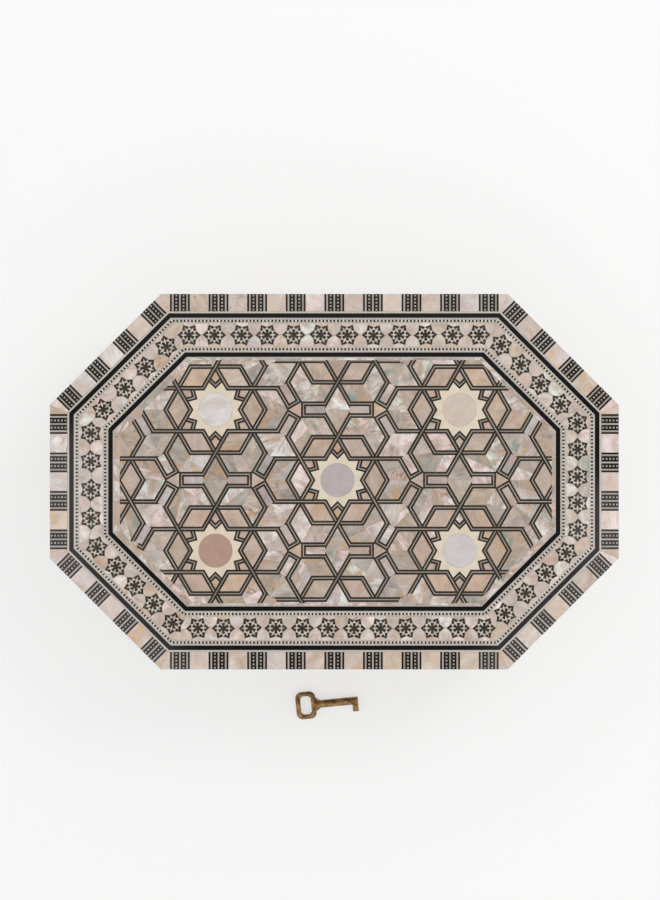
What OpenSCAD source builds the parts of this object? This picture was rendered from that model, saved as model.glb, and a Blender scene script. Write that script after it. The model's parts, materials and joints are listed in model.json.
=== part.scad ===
// Octagonal jewellery box of walnut, inlaid with pearl, bone and ebony, with its lock and key.
// Origin at the centre of the underside, +X along the length, +Y to the hinges, +Z up.

/* [Plan] */
// Length of the box over its long way
box_l = 300; // [280:1:330]
// Width of the box from front to back
box_w = 198; // [190:1:220]
// Length that each corner is cut back along both of its sides
corner_leg = 58.5; // [54:0.5:62]

/* [Heights] */
// Height of the base, from the table to the seam
base_h = 66; // [62:1:90]
// Height of the lid, from the seam to the polished top
lid_h = 30; // [28:1:44]
// Gap between the base and the closed lid
seam_gap = 0.4; // [0.3:0.1:0.8]

/* [Boards] */
// Thickness of the wall boards and of the lid rails
wall_t = 10; // [9:0.5:12]
// Thickness of the lid board under the inlay
lid_board_t = 7; // [5:0.5:9]
// Thickness of the bottom panel
bottom_t = 5; // [4:0.5:8]
// Width of the step in the boards that takes the bottom panel and the lid board
rebate_w = 5; // [3:0.5:6]
// Thickness of the felt under the base
felt_t = 1; // [0.5:0.1:2]
// Distance of the felt's edge from the outer face
felt_inset = 1; // [0.5:0.5:4]

/* [Lining] */
// Thickness of the velvet covered card on the inner walls
lining_t = 1.2; // [0.8:0.1:2]
// Distance of the lining's edge from the seam
lining_drop = 1.5; // [1:0.5:4]
// Thickness of the velvet floor pad
floor_pad_t = 3; // [2:0.5:6]
// Thickness of the velvet pad inside the lid
lid_pad_t = 3; // [2:0.5:5]
// Gap around each velvet pad
pad_gap = 0.3; // [0.2:0.1:1]

/* [Top inlay] */
// Thickness of the inlay on the lid board
inlay_t = 1.4; // [1:0.1:2]
// Width of the glue line around each inlaid piece
glue = 0.05; // [0.03:0.01:0.1]
// Width of the border of pearl and marquetry blocks
border_w = 9.2; // [8:0.1:11]
// Width of each bone line
bone_line_w = 1; // [0.6:0.1:1.4]
// Width of each ebony band
ebony_band_w = 2.4; // [1.8:0.1:3]
// Width of each dotted band
dotted_band_w = 2.2; // [1.8:0.1:3]
// Width of the band of rosettes
rosette_band_w = 12.8; // [12.4:0.1:14]
// Radius of a rosette over its points
rosette_r = 6; // [5:0.1:6.4]
// Radius at a rosette's notches, as a share of its radius
rosette_notch = 0.7; // [0.58:0.01:0.8]

/* [Border blocks] */
// Blocks on each long side
long_blocks = 9; // [5:1:10]
// Blocks on each short side and each corner side
short_blocks = 4; // [2:1:4]
// Distance of the first block's centre from the corner
block_start = 10.1; // [9.5:0.1:12]
// Width of the thin ebony strip at each edge of a block
block_edge_w = 0.95; // [0.6:0.05:1.1]
// Width of each bone strip in a block
block_bone_w = 0.9; // [0.6:0.05:1.1]
// Width of each of a block's two ladder strips
block_ladder_w = 2.9; // [2.4:0.1:3.1]

/* [Strapwork] */
// Distance between two neighbouring stars
star_pitch = 74.3; // [70:0.1:78]
// Distance from a star's centre to the first turn of its straps
star_s = 13.1; // [12.4:0.1:13.6]
// Length of the straps beyond their last turn
strap_tail = 11.4; // [10:0.1:12]
// Width of a strap
strap_w = 2.3; // [1.6:0.1:2.5]
// Radius of the pearl disc in each star
disc_r = 8.9; // [7:0.1:9.4]
// Distance from a star's centre to the points of its chevrons
chevron_r = 10.9; // [10:0.1:11.5]
// Distance of the straps' ends from the field's edge, where the pearl runs on
field_edge = 1.2; // [1:0.1:4]
// Shift of the middle star from the box's centre, along X
pattern_x = 1.7; // [-4:0.1:4]
// Shift of the middle star from the box's centre, along Y
pattern_y = 0.8; // [-4:0.1:4]

/* [Side inlay] */
// Distance between the stars of the base's sides
side_pitch = 61; // [58:0.5:64]
// Depth of the inlay in the side faces
side_t = 1.2; // [0.8:0.1:1.6]
// Width of the banding around each side panel
banding_w = 4; // [3:0.1:5]
// Bare wood left at the ends of each side panel
side_margin = 4; // [3:0.5:8]
// Bare wood left below the base's panels
base_margin_low = 5; // [4:0.5:8]
// Bare wood left above the base's panels
base_margin_high = 5; // [4.5:0.5:8]
// Bare wood left below the lid's panels
lid_margin_low = 4.6; // [4.5:0.1:8]
// Bare wood left above the lid's panels
lid_margin_high = 2.4; // [2:0.1:4]
// Radius of the rosettes on the lid's sides
side_rosette_r = 5.2; // [4.4:0.1:5.6]

/* [Hinges] */
// Length of a hinge
hinge_len = 30; // [24:1:40]
// Distance of each hinge's middle from the box's centre
hinge_x = 60; // [45:1:65]
// Distance of the hinge pin from the back face
hinge_inset = 2.8; // [2.6:0.1:3.2]
// Radius of the hinge barrel
knuckle_r = 1.9; // [1.7:0.1:2]
// Radius of the hinge pin
hinge_pin_r = 0.8; // [0.6:0.05:0.9]
// Thickness of a hinge leaf
leaf_t = 1; // [0.8:0.1:1.2]
// Angle that the bevelled back edges let the lid open
open_angle = 100; // [95:1:105]

/* [Lock] */
// Length of the lock's plate
plate_w = 40; // [38:1:46]
// Height of the lock's plate
plate_h = 22; // [21:1:26]
// Thickness of the lock's plate
plate_t = 1.2; // [1:0.1:1.4]
// Length of the lock's case
case_w = 31.6; // [31:0.1:33]
// Depth of the whole lock in the wall
lock_depth = 6; // [5.8:0.1:6.4]
// Thickness of the case's walls and cap
case_t = 0.8; // [0.6:0.1:1]
// Travel of the bolt
bolt_throw = 4.2; // [3.5:0.1:4.3]
// Thickness of the bolt
bolt_t = 2.2; // [1.8:0.1:2.3]
// Distance of the key's axis below the seam
key_drop = 12.9; // [12.8:0.1:13.4]
// Sliding clearance around the bolt
slide_fit = 0.1; // [0.05:0.01:0.15]

/* [Key] */
// Length of the key
key_l = 35.6; // [30:0.1:45]
// Radius of the key's barrel
barrel_r = 2.25; // [1.9:0.05:2.3]
// Length of the key's bow along the barrel
bow_l = 11.5; // [10:0.1:13]
// Width of the key's bow
bow_w = 15.5; // [13:0.1:20]
// Thickness of the key's bow
bow_t = 2.6; // [2:0.1:3]
// Width of the bow's ring beside its opening
bow_rim = 2.5; // [2:0.1:2.7]
// Distance that the bit stands out from the barrel
bit_h = 3.8; // [3:0.1:3.9]
// Length of the bit along the barrel
bit_l = 3.4; // [2.5:0.1:4]
// Thickness of the bit
bit_t = 1.8; // [1.4:0.1:2]
// Radius of the drill pin that the barrel slides over
drill_pin_r = 0.8; // [0.6:0.05:0.9]
// Distance of the key's bow in front of the box
key_gap = 30.3; // [20:0.1:60]
// Distance of the key's bow left of the box's middle
key_left = 16; // [0:0.5:40]
// Turn of the key where it lies
key_turn = 5.5; // [0:0.5:30]

/* [Hidden] */
$fn = 48;
SIDES = 8;
FRONT = 7;
BACK = 3;
MITRE = 22.5;
CUT = 1;
top_z = base_h + lid_h;
lid_z = base_h + seam_gap;
inlay_z = top_z - inlay_t;
board_z = inlay_z - lid_board_t;
floor_z = felt_t + bottom_t;

// Distances of the top's bands from the outer face
line_1 = border_w;
ebony_1 = line_1 + bone_line_w;
line_2 = ebony_1 + ebony_band_w;
dots_1 = line_2 + bone_line_w / 2;
rosette_d = dots_1 + dotted_band_w;
dots_2 = rosette_d + rosette_band_w;
line_3 = dots_2 + dotted_band_w;
ebony_2 = line_3 + bone_line_w / 2;
line_4 = ebony_2 + ebony_band_w;
field_d = line_4 + bone_line_w / 2;

axis_y = box_w / 2 - hinge_inset;
axis_z = base_h + seam_gap / 2;
screw_r = 0.7;
screw_head_r = 1.4;
screw_head_h = 0.7;
screw_fit = 0.05;
key_z = base_h - key_drop;
beak_z = base_h - 6.5;
beak_h = 2.8;
bolt_low = key_z + barrel_r + 0.85;
bolt_high = bolt_low + 7;
body_left = -1.6;
body_right = 9;
leg_w = 7.2;
leg_t = 1.6;
leg_right = body_left - bolt_throw - 0.3;
beak_tip = leg_right + 0.4;
inner_y = wall_t - plate_t;

// ---- Plan of the box ----

// Corners of the octagonal plan, moved inwards by d
function plan(d) =
  let (x = box_l / 2 - d,
       y = box_w / 2 - d,
       c = box_l / 2 + box_w / 2 - corner_leg - d * sqrt(2),
       xc = c - y,
       yc = c - x)
  [[xc, -y], [x, -yc], [x, yc], [xc, y], [-xc, y], [-x, yc], [-x, -yc], [-xc, -y]];

function next(k) = (k + 1) % SIDES;
function side_len(k, d = 0) = norm(plan(d)[next(k)] - plan(d)[k]);
function side_turn(k) =
  let (v = plan(0)[next(k)] - plan(0)[k])
  atan2(v.y, v.x);

// Puts its children on side k: x along the side, y into the box, z up
module on_side(k) {
  middle = (plan(0)[k] + plan(0)[next(k)]) / 2;
  translate([middle.x, middle.y, 0]) rotate([0, 0, side_turn(k)]) children();
}

module plate(d, z, t) {
  translate([0, 0, z]) linear_extrude(t) polygon(plan(d));
}

module ring(d_out, d_in, z, t) {
  translate([0, 0, z]) linear_extrude(t) difference() {
    polygon(plan(d_out));
    polygon(plan(d_in));
  }
}

// A board of side k between two distances from the outer face, with mitred ends
module mitred(k, d_out, d_in, z, t) {
  out = plan(d_out);
  in = plan(d_in);
  translate([0, 0, z]) linear_extrude(t)
    polygon([out[k], out[next(k)], in[next(k)], in[k]]);
}

// ---- Boards ----

// Sunk bed of a side panel on side k
module panel_bed(k, z, h) {
  len = side_len(k) - 2 * side_margin;
  on_side(k) translate([-len / 2, -CUT, z]) cube([len, side_t + CUT, h]);
}

// Bevels of the back edges, which stop the open lid, with the barrels' beds
module hinge_bed() {
  reach = hinge_inset + CUT;
  rise = reach * tan(open_angle / 2);
  translate([-box_l / 2, axis_y, axis_z]) rotate([90, 0, 90])
    linear_extrude(box_l) polygon([[0, 0], [reach, -rise], [reach, rise]]);
  at_hinges() rotate([0, 90, 0])
    cylinder(h = hinge_len + 1, r = knuckle_r + 0.4, center = true);
}

module at_hinges() {
  for (x = [-hinge_x, hinge_x]) translate([x, axis_y, axis_z]) children();
}

// Bed of the leaf, which ends at the barrel, on the side given by up
module leaf_bed(up) {
  depth = hinge_leaf_w() + 0.1;
  z = up > 0 ? seam_gap / 2 - CUT : -seam_gap / 2 - leaf_t;
  at_hinges() translate([-hinge_len / 2 - 0.1, -depth, z])
    cube([hinge_len + 0.2, depth, leaf_t + CUT]);
}

function hinge_leaf_w() = wall_t - hinge_inset - 0.8;
function leaf_screw_y() = -(hinge_leaf_w() + knuckle_r) / 2;
leaf_screw_x = [-hinge_len / 3, 0, hinge_len / 3];

// Places of the hinge screws, pointing into the wood on the side given by up
module at_leaf_screws(up) {
  at_hinges() for (x = leaf_screw_x)
    translate([x, leaf_screw_y(), up * seam_gap / 2])
      rotate([up > 0 ? 180 : 0, 0, 0]) children();
}

// A countersunk wood screw, its head's face at z = 0 and its point down
module screw(len, extra = 0) {
  translate([0, 0, -screw_head_h])
    cylinder(h = screw_head_h, r1 = screw_r + extra, r2 = screw_head_r + extra);
  translate([0, 0, -len - extra]) cylinder(h = len + extra - screw_head_h, r = screw_r + extra);
}

module slotted_screw(len) {
  difference() {
    screw(len);
    translate([-screw_head_r, -0.15, -0.3]) cube([2 * screw_head_r, 0.3, 0.3 + CUT]);
  }
}

module wall(k) {
  difference() {
    mitred(k, 0, wall_t, felt_t, base_h - felt_t);
    mitred(k, rebate_w, wall_t + CUT, felt_t - CUT, bottom_t + CUT);
    panel_bed(k, base_panel_z, base_panel_h);
    if (k >= BACK - 1 && k <= BACK + 1) hinge_bed();
  }
}

module rail(k) {
  difference() {
    mitred(k, 0, wall_t, lid_z, inlay_z - lid_z);
    mitred(k, rebate_w, wall_t + CUT, board_z, lid_board_t + CUT);
    panel_bed(k, lid_panel_z, lid_panel_h);
    if (k >= BACK - 1 && k <= BACK + 1) hinge_bed();
  }
}

base_panel_z = felt_t + base_margin_low;
base_panel_h = base_h - base_margin_high - base_panel_z;
lid_panel_z = lid_z + lid_margin_low;
lid_panel_h = inlay_z - lid_margin_high - lid_panel_z;
walnut = "#5b3a22";

module front_wall() {
  color(walnut) difference() {
    wall(FRONT);
    lock_bed();
    keyhole_cut();
    at_escutcheon_pins() cylinder(h = wall_t, r = pin_nail_r + screw_fit, center = true);
  }
}

module back_wall() {
  color(walnut) difference() {
    wall(BACK);
    leaf_bed(-1);
    at_leaf_screws(-1) screw(leaf_screw_l, screw_fit);
  }
}

leaf_screw_l = 8;

module left_wall() { color(walnut) wall(5); }
module right_wall() { color(walnut) wall(1); }
module corner_wall_front_left() { color(walnut) wall(6); }
module corner_wall_front_right() { color(walnut) wall(0); }
module corner_wall_back_left() { color(walnut) wall(4); }
module corner_wall_back_right() { color(walnut) wall(2); }

module bottom_panel() {
  color("#7a5534") plate(rebate_w + glue, felt_t, bottom_t);
}

module base_felt() {
  color("#23352b") plate(felt_inset, 0, felt_t);
}

module lid_board() {
  color("#7a5534") plate(rebate_w + glue, board_z, lid_board_t);
}

module lid_front_rail() {
  color(walnut) difference() {
    rail(FRONT);
    strike_bed();
    at_strike_screws() screw(leaf_screw_l, screw_fit);
  }
}

module lid_back_rail() {
  color(walnut) difference() {
    rail(BACK);
    leaf_bed(1);
    at_leaf_screws(1) screw(leaf_screw_l, screw_fit);
  }
}

module lid_left_rail() { color(walnut) rail(5); }
module lid_right_rail() { color(walnut) rail(1); }
module lid_corner_rail_front_left() { color(walnut) rail(6); }
module lid_corner_rail_front_right() { color(walnut) rail(0); }
module lid_corner_rail_back_left() { color(walnut) rail(4); }
module lid_corner_rail_back_right() { color(walnut) rail(2); }

// ---- Velvet lining ----

velvet = "#7c1420";

module wall_lining() {
  h = base_h - lining_drop - floor_z;
  color(velvet) difference() {
    ring(wall_t, wall_t + lining_t, floor_z, h);
    at_front() translate([-plate_w / 2 - pad_gap, inner_y, base_h - plate_h - pad_gap])
      cube([plate_w + 2 * pad_gap, 2 * wall_t, plate_h + CUT]);
  }
}

module floor_pad() {
  color(velvet) plate(wall_t + lining_t + pad_gap, floor_z, floor_pad_t);
}

module lid_wall_lining() {
  z = lid_z + lining_drop;
  color(velvet) ring(wall_t, wall_t + lining_t, z, board_z - z);
}

module lid_pad() {
  color(velvet) plate(wall_t + lining_t + pad_gap, board_z - lid_pad_t, lid_pad_t);
}

// ---- Inlay of the sides ----

module panel_rect(k, inset, z, h) {
  len = side_len(k) - 2 * (side_margin + inset);
  on_side(k) translate([-len / 2, 0, z + inset]) cube([len, side_t, h - 2 * inset]);
}

module banding(k, z, h) {
  difference() {
    panel_rect(k, glue, z, h);
    on_side(k) {
      len = side_len(k) - 2 * (side_margin + banding_w);
      translate([-len / 2, -CUT, z + banding_w])
        cube([len, side_t + 2 * CUT, h - 2 * banding_w]);
    }
  }
}

// Cuts the keyhole and the nail holes of its plate out of the inlay in front of the lock
module clear_of_keyhole() {
  difference() {
    children();
    keyhole_cut();
    at_escutcheon_pins() cylinder(h = wall_t, r = pin_nail_r + screw_fit, center = true);
  }
}

module base_side_banding() {
  color("#2b2320") clear_of_keyhole()
    for (k = [0 : SIDES - 1]) banding(k, base_panel_z, base_panel_h);
}

side_scale = side_pitch / star_pitch;

// Field of the base's panel on side k, in the star pattern's own scale and lying on its side
function side_field(k) =
  let (x = side_len(k) / 2 - side_margin - banding_w,
       z = base_panel_h / 2 - banding_w)
  [z, x, x + z + CUT] / side_scale;

// Puts a drawing of the star pattern on the base's panel of side k
module on_panel(k) {
  on_side(k) translate([0, side_t, base_panel_z + base_panel_h / 2]) rotate([90, 0, 0])
    linear_extrude(side_t) rotate(90) scale(side_scale) children();
}

module base_side_pearl() {
  color("#cbb9a6") clear_of_keyhole()
    for (k = [0 : SIDES - 1]) on_panel(k) chip_shape(side_field(k), CENTRED);
}

module base_side_straps() {
  color("#2c2724") clear_of_keyhole()
    for (k = [0 : SIDES - 1]) on_panel(k) strap_shape(side_field(k), CENTRED);
}

module base_side_stars() {
  color("#e9dfc4") clear_of_keyhole()
    for (k = [0 : SIDES - 1]) on_panel(k) star_shape(side_field(k), CENTRED);
}

module base_side_discs() {
  color("#b7aaa8")
    for (k = [0 : SIDES - 1]) on_panel(k) disc_shape(side_field(k), CENTRED);
}

module lid_side_banding() {
  color("#2b2320") for (k = [0 : SIDES - 1]) banding(k, lid_panel_z, lid_panel_h);
}

side_rosette_z = lid_panel_z + lid_panel_h / 2;

// Rosettes in a row along the middle of side k's lid panel
module at_side_rosettes(k) {
  len = side_len(k) - 2 * (side_margin + banding_w);
  n = floor(len / (2 * side_rosette_r + 1.5));
  on_side(k) for (i = [0 : n - 1])
    translate([(i - (n - 1) / 2) * len / n, 0, side_rosette_z])
      rotate([-90, 0, 0]) children();
}

module lid_side_pearl() {
  color("#cbb9a6") for (k = [0 : SIDES - 1]) difference() {
    panel_rect(k, banding_w + glue, lid_panel_z, lid_panel_h);
    at_side_rosettes(k) translate([0, 0, -CUT])
      linear_extrude(side_t + 2 * CUT) rosette_shape(side_rosette_r + glue);
  }
}

module lid_side_rosettes() {
  color("#1d1a19") for (k = [0 : SIDES - 1])
    at_side_rosettes(k) linear_extrude(side_t) rosette_shape(side_rosette_r);
}

// ---- Inlay of the top ----

module top_ring(d_out, d_in) {
  ring(d_out + glue, d_in, inlay_z, inlay_t);
}

function block_w() = 2 * block_edge_w + 3 * block_bone_w + 2 * block_ladder_w;
function blocks(k) = side_len(k) > box_l / 2 ? long_blocks : short_blocks;
function block_x(k, i) =
  (i / (blocks(k) - 1) - 0.5) * (side_len(k) - 2 * block_start);

// Strips of one block, given the widths of those before and of the strip
module block_strip(x, w) {
  translate([x - block_w() / 2 + glue / 2, glue, inlay_z])
    cube([w - glue, border_w - glue, inlay_t]);
}

module at_blocks() {
  for (k = [0 : SIDES - 1]) on_side(k)
    for (i = [0 : blocks(k) - 1]) translate([block_x(k, i), 0, 0]) children();
}

module border_ebony() {
  first = block_edge_w + block_bone_w;
  second = first + block_ladder_w + block_bone_w;
  color("#1d1a19") at_blocks() {
    block_strip(0, block_edge_w);
    block_strip(first, block_ladder_w);
    block_strip(second, block_ladder_w);
    block_strip(block_w() - block_edge_w, block_edge_w);
  }
}

module border_bone() {
  step = block_bone_w + block_ladder_w;
  color("#e6dec8") at_blocks()
    for (i = [0 : 2]) block_strip(block_edge_w + i * step, block_bone_w);
}

// Pearl between the blocks of side k, and the mitred pieces at its ends
module border_pearl() {
  half_block = block_w() / 2 + glue / 2;
  color("#cfc2b4") for (k = [0 : SIDES - 1]) on_side(k)
    translate([0, 0, inlay_z]) linear_extrude(inlay_t) {
      for (i = [1 : blocks(k) - 1]) {
        x0 = block_x(k, i - 1) + half_block;
        x1 = block_x(k, i) - half_block;
        polygon([[x0, 0], [x1, 0], [x1, border_w], [x0, border_w]]);
      }
      x_last = block_x(k, blocks(k) - 1) + half_block;
      x_out = side_len(k) / 2 - glue;
      x_in = x_out - border_w * tan(MITRE);
      for (m = [0, 1]) mirror([m, 0])
        polygon([[x_last, 0], [x_out, 0], [x_in, border_w], [x_last, border_w]]);
    }
}

module bone_lines() {
  color("#e6dec8") {
    top_ring(line_1, ebony_1);
    top_ring(line_2, dots_1);
    top_ring(line_3, ebony_2);
    top_ring(line_4, field_d);
  }
}

module ebony_bands() {
  color("#1d1a19") {
    top_ring(ebony_1, line_2);
    top_ring(ebony_2, line_4);
  }
}

module dotted_bands() {
  color("#b9b0a0") {
    top_ring(dots_1, rosette_d);
    top_ring(dots_2, line_3);
  }
}

// Rosettes on each side, from the front right corner side round to the front
rosette_counts = [4, 5, 4, 12, 4, 4, 5, 12];

module rosette_shape(r) {
  polygon([for (i = [0 : 11]) (i % 2 == 0 ? r : rosette_notch * r) * [cos(30 * i), sin(30 * i)]]);
}

module at_rosettes() {
  middle_d = rosette_d + rosette_band_w / 2;
  for (k = [0 : SIDES - 1]) {
    len = side_len(k, middle_d);
    n = min(rosette_counts[k], floor(len / (2 * rosette_r)));
    on_side(k) for (i = [0 : n - 1])
      translate([(i - (n - 1) / 2) * len / n, middle_d, inlay_z]) children();
  }
}

module rosettes() {
  color("#1d1a19") at_rosettes() linear_extrude(inlay_t) rosette_shape(rosette_r);
}

module rosette_ground() {
  color("#cfc2b4") difference() {
    top_ring(rosette_d, dots_2);
    at_rosettes() translate([0, 0, -CUT])
      linear_extrude(inlay_t + 2 * CUT) rosette_shape(rosette_r + glue);
  }
}

// ---- Star strapwork, worked out from the pitch, the first turn and the tail ----

function polar(r, a) = r * [cos(a), sin(a)];
function turned(points, a) =
  [for (p = points) [p.x * cos(a) - p.y * sin(a), p.x * sin(a) + p.y * cos(a)]];
function left_of(v) = [-v.y, v.x] / norm(v);

// A polygon, anticlockwise, with each edge moved inwards by its own distance
function inset(points, d) =
  let (n = len(points))
  [for (i = [0 : n - 1])
    let (p = points[i],
         a = left_of(p - points[(i + n - 1) % n]),
         b = left_of(points[(i + 1) % n] - p),
         da = d[(i + n - 1) % n],
         db = d[i],
         c = a * b)
    p + ((da - db * c) * a + (db - da * c) * b) / (1 - c * c)];

s = star_s;
root3 = sqrt(3);
edge = strap_w / 2 + glue;
seam = glue + 0.05;
arm_h = star_pitch / 2 - 1.5 * root3 * s;
arm_l = s / 2 + strap_tail;
heart_h = star_pitch / 2 - root3 * s;

// The cells between the straps. Each leaves the distance e to the straps' middle lines.
// Lozenge beside the disc, and the two halves of the large cell beyond it
function lozenge(e) =
  inset([[s, 0], [1.5 * s, -root3 / 2 * s], [2 * s, 0], [1.5 * s, root3 / 2 * s]],
        [e, e, e, e]);
function half_cell(e) =
  inset([[2 * s, 0], [3 * s, 0], [2.5 * s, root3 / 2 * s], [1.5 * s, root3 / 2 * s]],
        [seam, e, e, e]);
function lower_cell(e) = [for (p = half_cell(e)) [p.x, -p.y]];

// Figure between two stars: half of its heart, and one arm, seen from its centre
function half_heart(e) =
  inset([[s / 2, 0], [s / 2, arm_h], [0, heart_h], [-s / 2, arm_h], [-s / 2, 0]],
        [seam, e, e, seam, seam]);
function arm(e) =
  inset([[s / 2, -arm_h], [arm_l, -arm_h], [arm_l, arm_h], [s / 2, arm_h]], [e, e, e, seam]);

// Small triangle where three arms meet
function joint_triangle(e) =
  [for (k = [0 : 2]) polar(-2 * (star_pitch / 2 / root3 - arm_l - e), 120 * k)];

// Chevron that closes the star towards each crossing, and the kite behind it
strap_in = s - edge / sin(60);
tooth = chevron_tooth(chevron_r);
back_r = chevron_r + strap_w * sqrt(2);
back_tooth = chevron_tooth(back_r);
kite = [polar(back_r + 2 * glue, 30), back_tooth,
        polar(root3 * s - edge / sin(30), 30), mirrored_30(back_tooth)];

// Where a chevron with its point at r meets the strap of the axis at 0 degrees
function chevron_tooth(r) =
  let (p = polar(r, 30),
       v = ((strap_in - p.x) * sin(60) + p.y * cos(60)) / sin(75))
  p + v * [cos(15), -sin(15)];
function mirrored_30(p) =
  [p.x * cos(60) + p.y * sin(60), p.x * sin(60) - p.y * cos(60)];

// Bone star around the disc, with twelve teeth
bone_star = [for (k = [0 : 5]) each
  turned([[strap_in, 0], tooth, polar(chevron_r, 30), mirrored_30(tooth)], 60 * k)];

// A field f is [half its length, half its width, x + y on its cut corners]
top_field = [box_l / 2 - field_d, box_w / 2 - field_d,
             box_l / 2 + box_w / 2 - corner_leg - field_d * sqrt(2)];
TOP_SHIFT = [pattern_x, pattern_y];
CENTRED = [0, 0];

// The outline of the field f, moved inwards by d
module field_shape(f, d) {
  intersection() {
    square(2 * [f[0] - d, f[1] - d], center = true);
    rotate(45) square(sqrt(2) * f[2] - 2 * d, center = true);
  }
}

// Does a cell of radius r at p reach into the field f?
function in_field(p, r, f) =
  abs(p.x) < f[0] + r && abs(p.y) < f[1] + r && abs(p.x) + abs(p.y) < f[2] + r * sqrt(2);

star_columns = [-2 : 2];
star_rows = [-2 : 2];
star_reach = 3.7 * s;

// Centres of the stars whose cells reach into the field f
function stars(f, shift) = [for (i = star_columns) for (j = star_rows)
  let (p = shift + star_pitch * [i * cos(30), j + (i % 2 == 0 ? 0 : 0.5)])
  if (in_field(p, star_reach, f)) p];

module cell(points, at, turn, f) {
  placed = [for (p = turned(points, turn)) p + at];
  if (in_field(placed[0], star_s, f)) polygon(placed);
}

// Every pearl cell of the field f, in outline
module cells(f, shift, e) {
  for (c = stars(f, shift)) {
    for (k = [0 : 5]) {
      cell(lozenge(e), c, 60 * k, f);
      cell(half_cell(e), c, 60 * k, f);
      cell(lower_cell(e), c, 60 * k, f);
      cell(kite, c, 60 * k, f);
    }
    for (k = [0 : 2]) {
      at = c + polar(star_pitch / 2, 30 + 60 * k);
      for (turn = [60 * k - 60, 60 * k + 120]) {
        cell(half_heart(e), at, turn, f);
        cell(arm(e), at, turn, f);
      }
    }
    for (k = [0, 1])
      cell(joint_triangle(e), c + polar(star_pitch / root3, 60 * k), 60 * k, f);
  }
}

module at_stars(f, shift) {
  for (c = stars(f, shift)) translate([c.x, c.y]) children();
}

// Chips between the straps, and on to the field's edge beyond the straps' ends
module chip_shape(f, shift) {
  intersection() {
    field_shape(f, field_edge);
    cells(f, shift, edge);
  }
  intersection() {
    difference() {
      field_shape(f, glue);
      field_shape(f, field_edge);
    }
    cells(f, shift, glue);
  }
}

module strap_shape(f, shift) {
  difference() {
    field_shape(f, field_edge);
    cells(f, shift, edge);
    at_stars(f, shift) polygon(bone_star);
  }
}

module star_shape(f, shift) {
  difference() {
    intersection() {
      field_shape(f, glue);
      at_stars(f, shift) polygon(bone_star);
    }
    at_stars(f, shift) circle(disc_r + glue);
  }
}

module disc_shape(f, shift) {
  intersection() {
    field_shape(f, glue);
    at_stars(f, shift) circle(disc_r);
  }
}

module in_top() {
  translate([0, 0, inlay_z]) linear_extrude(inlay_t) children();
}

module strapwork() {
  color("#2c2724") in_top() strap_shape(top_field, TOP_SHIFT);
}

module pearl_chips() {
  color("#cbb9a6") in_top() chip_shape(top_field, TOP_SHIFT);
}

module bone_stars() {
  color("#e9dfc4") in_top() star_shape(top_field, TOP_SHIFT);
}

module star_discs() {
  color("#b7aaa8") in_top() disc_shape(top_field, TOP_SHIFT);
}

// ---- Hinges ----

knuckle_gap = 0.2;
brass = "#b08d4a";

// One leaf with its knuckles, whose spans along the pin are given, on the side given by up
module leaf(spans, up) {
  z = up > 0 ? seam_gap / 2 : -seam_gap / 2 - leaf_t;
  w = hinge_leaf_w();
  clear = knuckle_r + 0.3;
  difference() {
    union() {
      translate([-hinge_len / 2, -w, z]) cube([hinge_len, w - clear, leaf_t]);
      for (span = spans) {
        translate([span[0], -clear - CUT, z]) cube([span[1] - span[0], clear + CUT, leaf_t]);
        translate([span[0], 0, 0]) rotate([0, 90, 0])
          cylinder(h = span[1] - span[0], r = knuckle_r);
      }
    }
    rotate([0, 90, 0])
      cylinder(h = hinge_len + 2 * CUT, r = hinge_pin_r + 0.05, center = true);
    for (x = leaf_screw_x) translate([x, leaf_screw_y(), up * seam_gap / 2])
      rotate([up > 0 ? 180 : 0, 0, 0]) screw(leaf_screw_l, screw_fit);
  }
}

third = hinge_len / 3;

module hinge_leaf_base() {
  inner = third / 2 + knuckle_gap / 2;
  color(brass) at_hinges()
    leaf([[-hinge_len / 2, -inner], [inner, hinge_len / 2]], -1);
}

module hinge_leaf_lid() {
  inner = third / 2 - knuckle_gap / 2;
  color(brass) at_hinges() leaf([[-inner, inner]], 1);
}

module hinge_pins() {
  color("#8f7440") at_hinges() rotate([0, 90, 0])
    cylinder(h = hinge_len, r = hinge_pin_r, center = true);
}

module hinge_screws_base() {
  color(brass) at_leaf_screws(-1) slotted_screw(leaf_screw_l);
}

module hinge_screws_lid() {
  color(brass) at_leaf_screws(1) slotted_screw(leaf_screw_l);
}

// ---- Lock, in the front wall: x along the wall, y into the box ----

module at_front() {
  translate([0, -box_w / 2, 0]) children();
}

// Stands a drawing of x and z on edge, from y0 to y1
module upright(y0, y1) {
  translate([0, y1, 0]) rotate([90, 0, 0]) linear_extrude(y1 - y0) children();
}

case_low = base_h - plate_h + 2;
case_in = case_w / 2 - case_t;
lock_screw_l = 5.8;
keyhole_r = barrel_r + 0.25;

module keyhole() {
  w = bit_t + 0.6;
  reach = barrel_r + bit_h + 0.35;
  translate([0, key_z]) circle(keyhole_r);
  translate([-w / 2, key_z - reach]) square([w, reach]);
}

module keyhole_cut() {
  at_front() upright(-2 * CUT, wall_t - lock_depth + CUT) keyhole();
}

module lock_bed() {
  fit = 0.1;
  at_front() {
    translate([-case_w / 2 - fit, wall_t - lock_depth, case_low - fit])
      cube([case_w + 2 * fit, lock_depth + CUT, plate_h]);
    translate([-plate_w / 2 - fit, inner_y, base_h - plate_h - fit])
      cube([plate_w + 2 * fit, plate_t + CUT, plate_h + fit + CUT]);
    translate([-plate_w / 2 - fit, wall_t - lock_depth, base_h - plate_t])
      cube([plate_w + 2 * fit, lock_depth + CUT, plate_t + CUT]);
  }
  at_lock_screws() screw(lock_screw_l, screw_fit);
}

lock_screw_drop = 6;
lock_screw_rise = 3;

module at_lock_screws() {
  for (x = [-1, 1]) for (z = [base_h - lock_screw_drop, base_h - plate_h + lock_screw_rise])
    at_front() translate([x * (plate_w + case_w) / 4, wall_t, z])
      rotate([-90, 0, 0]) children();
}

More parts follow.
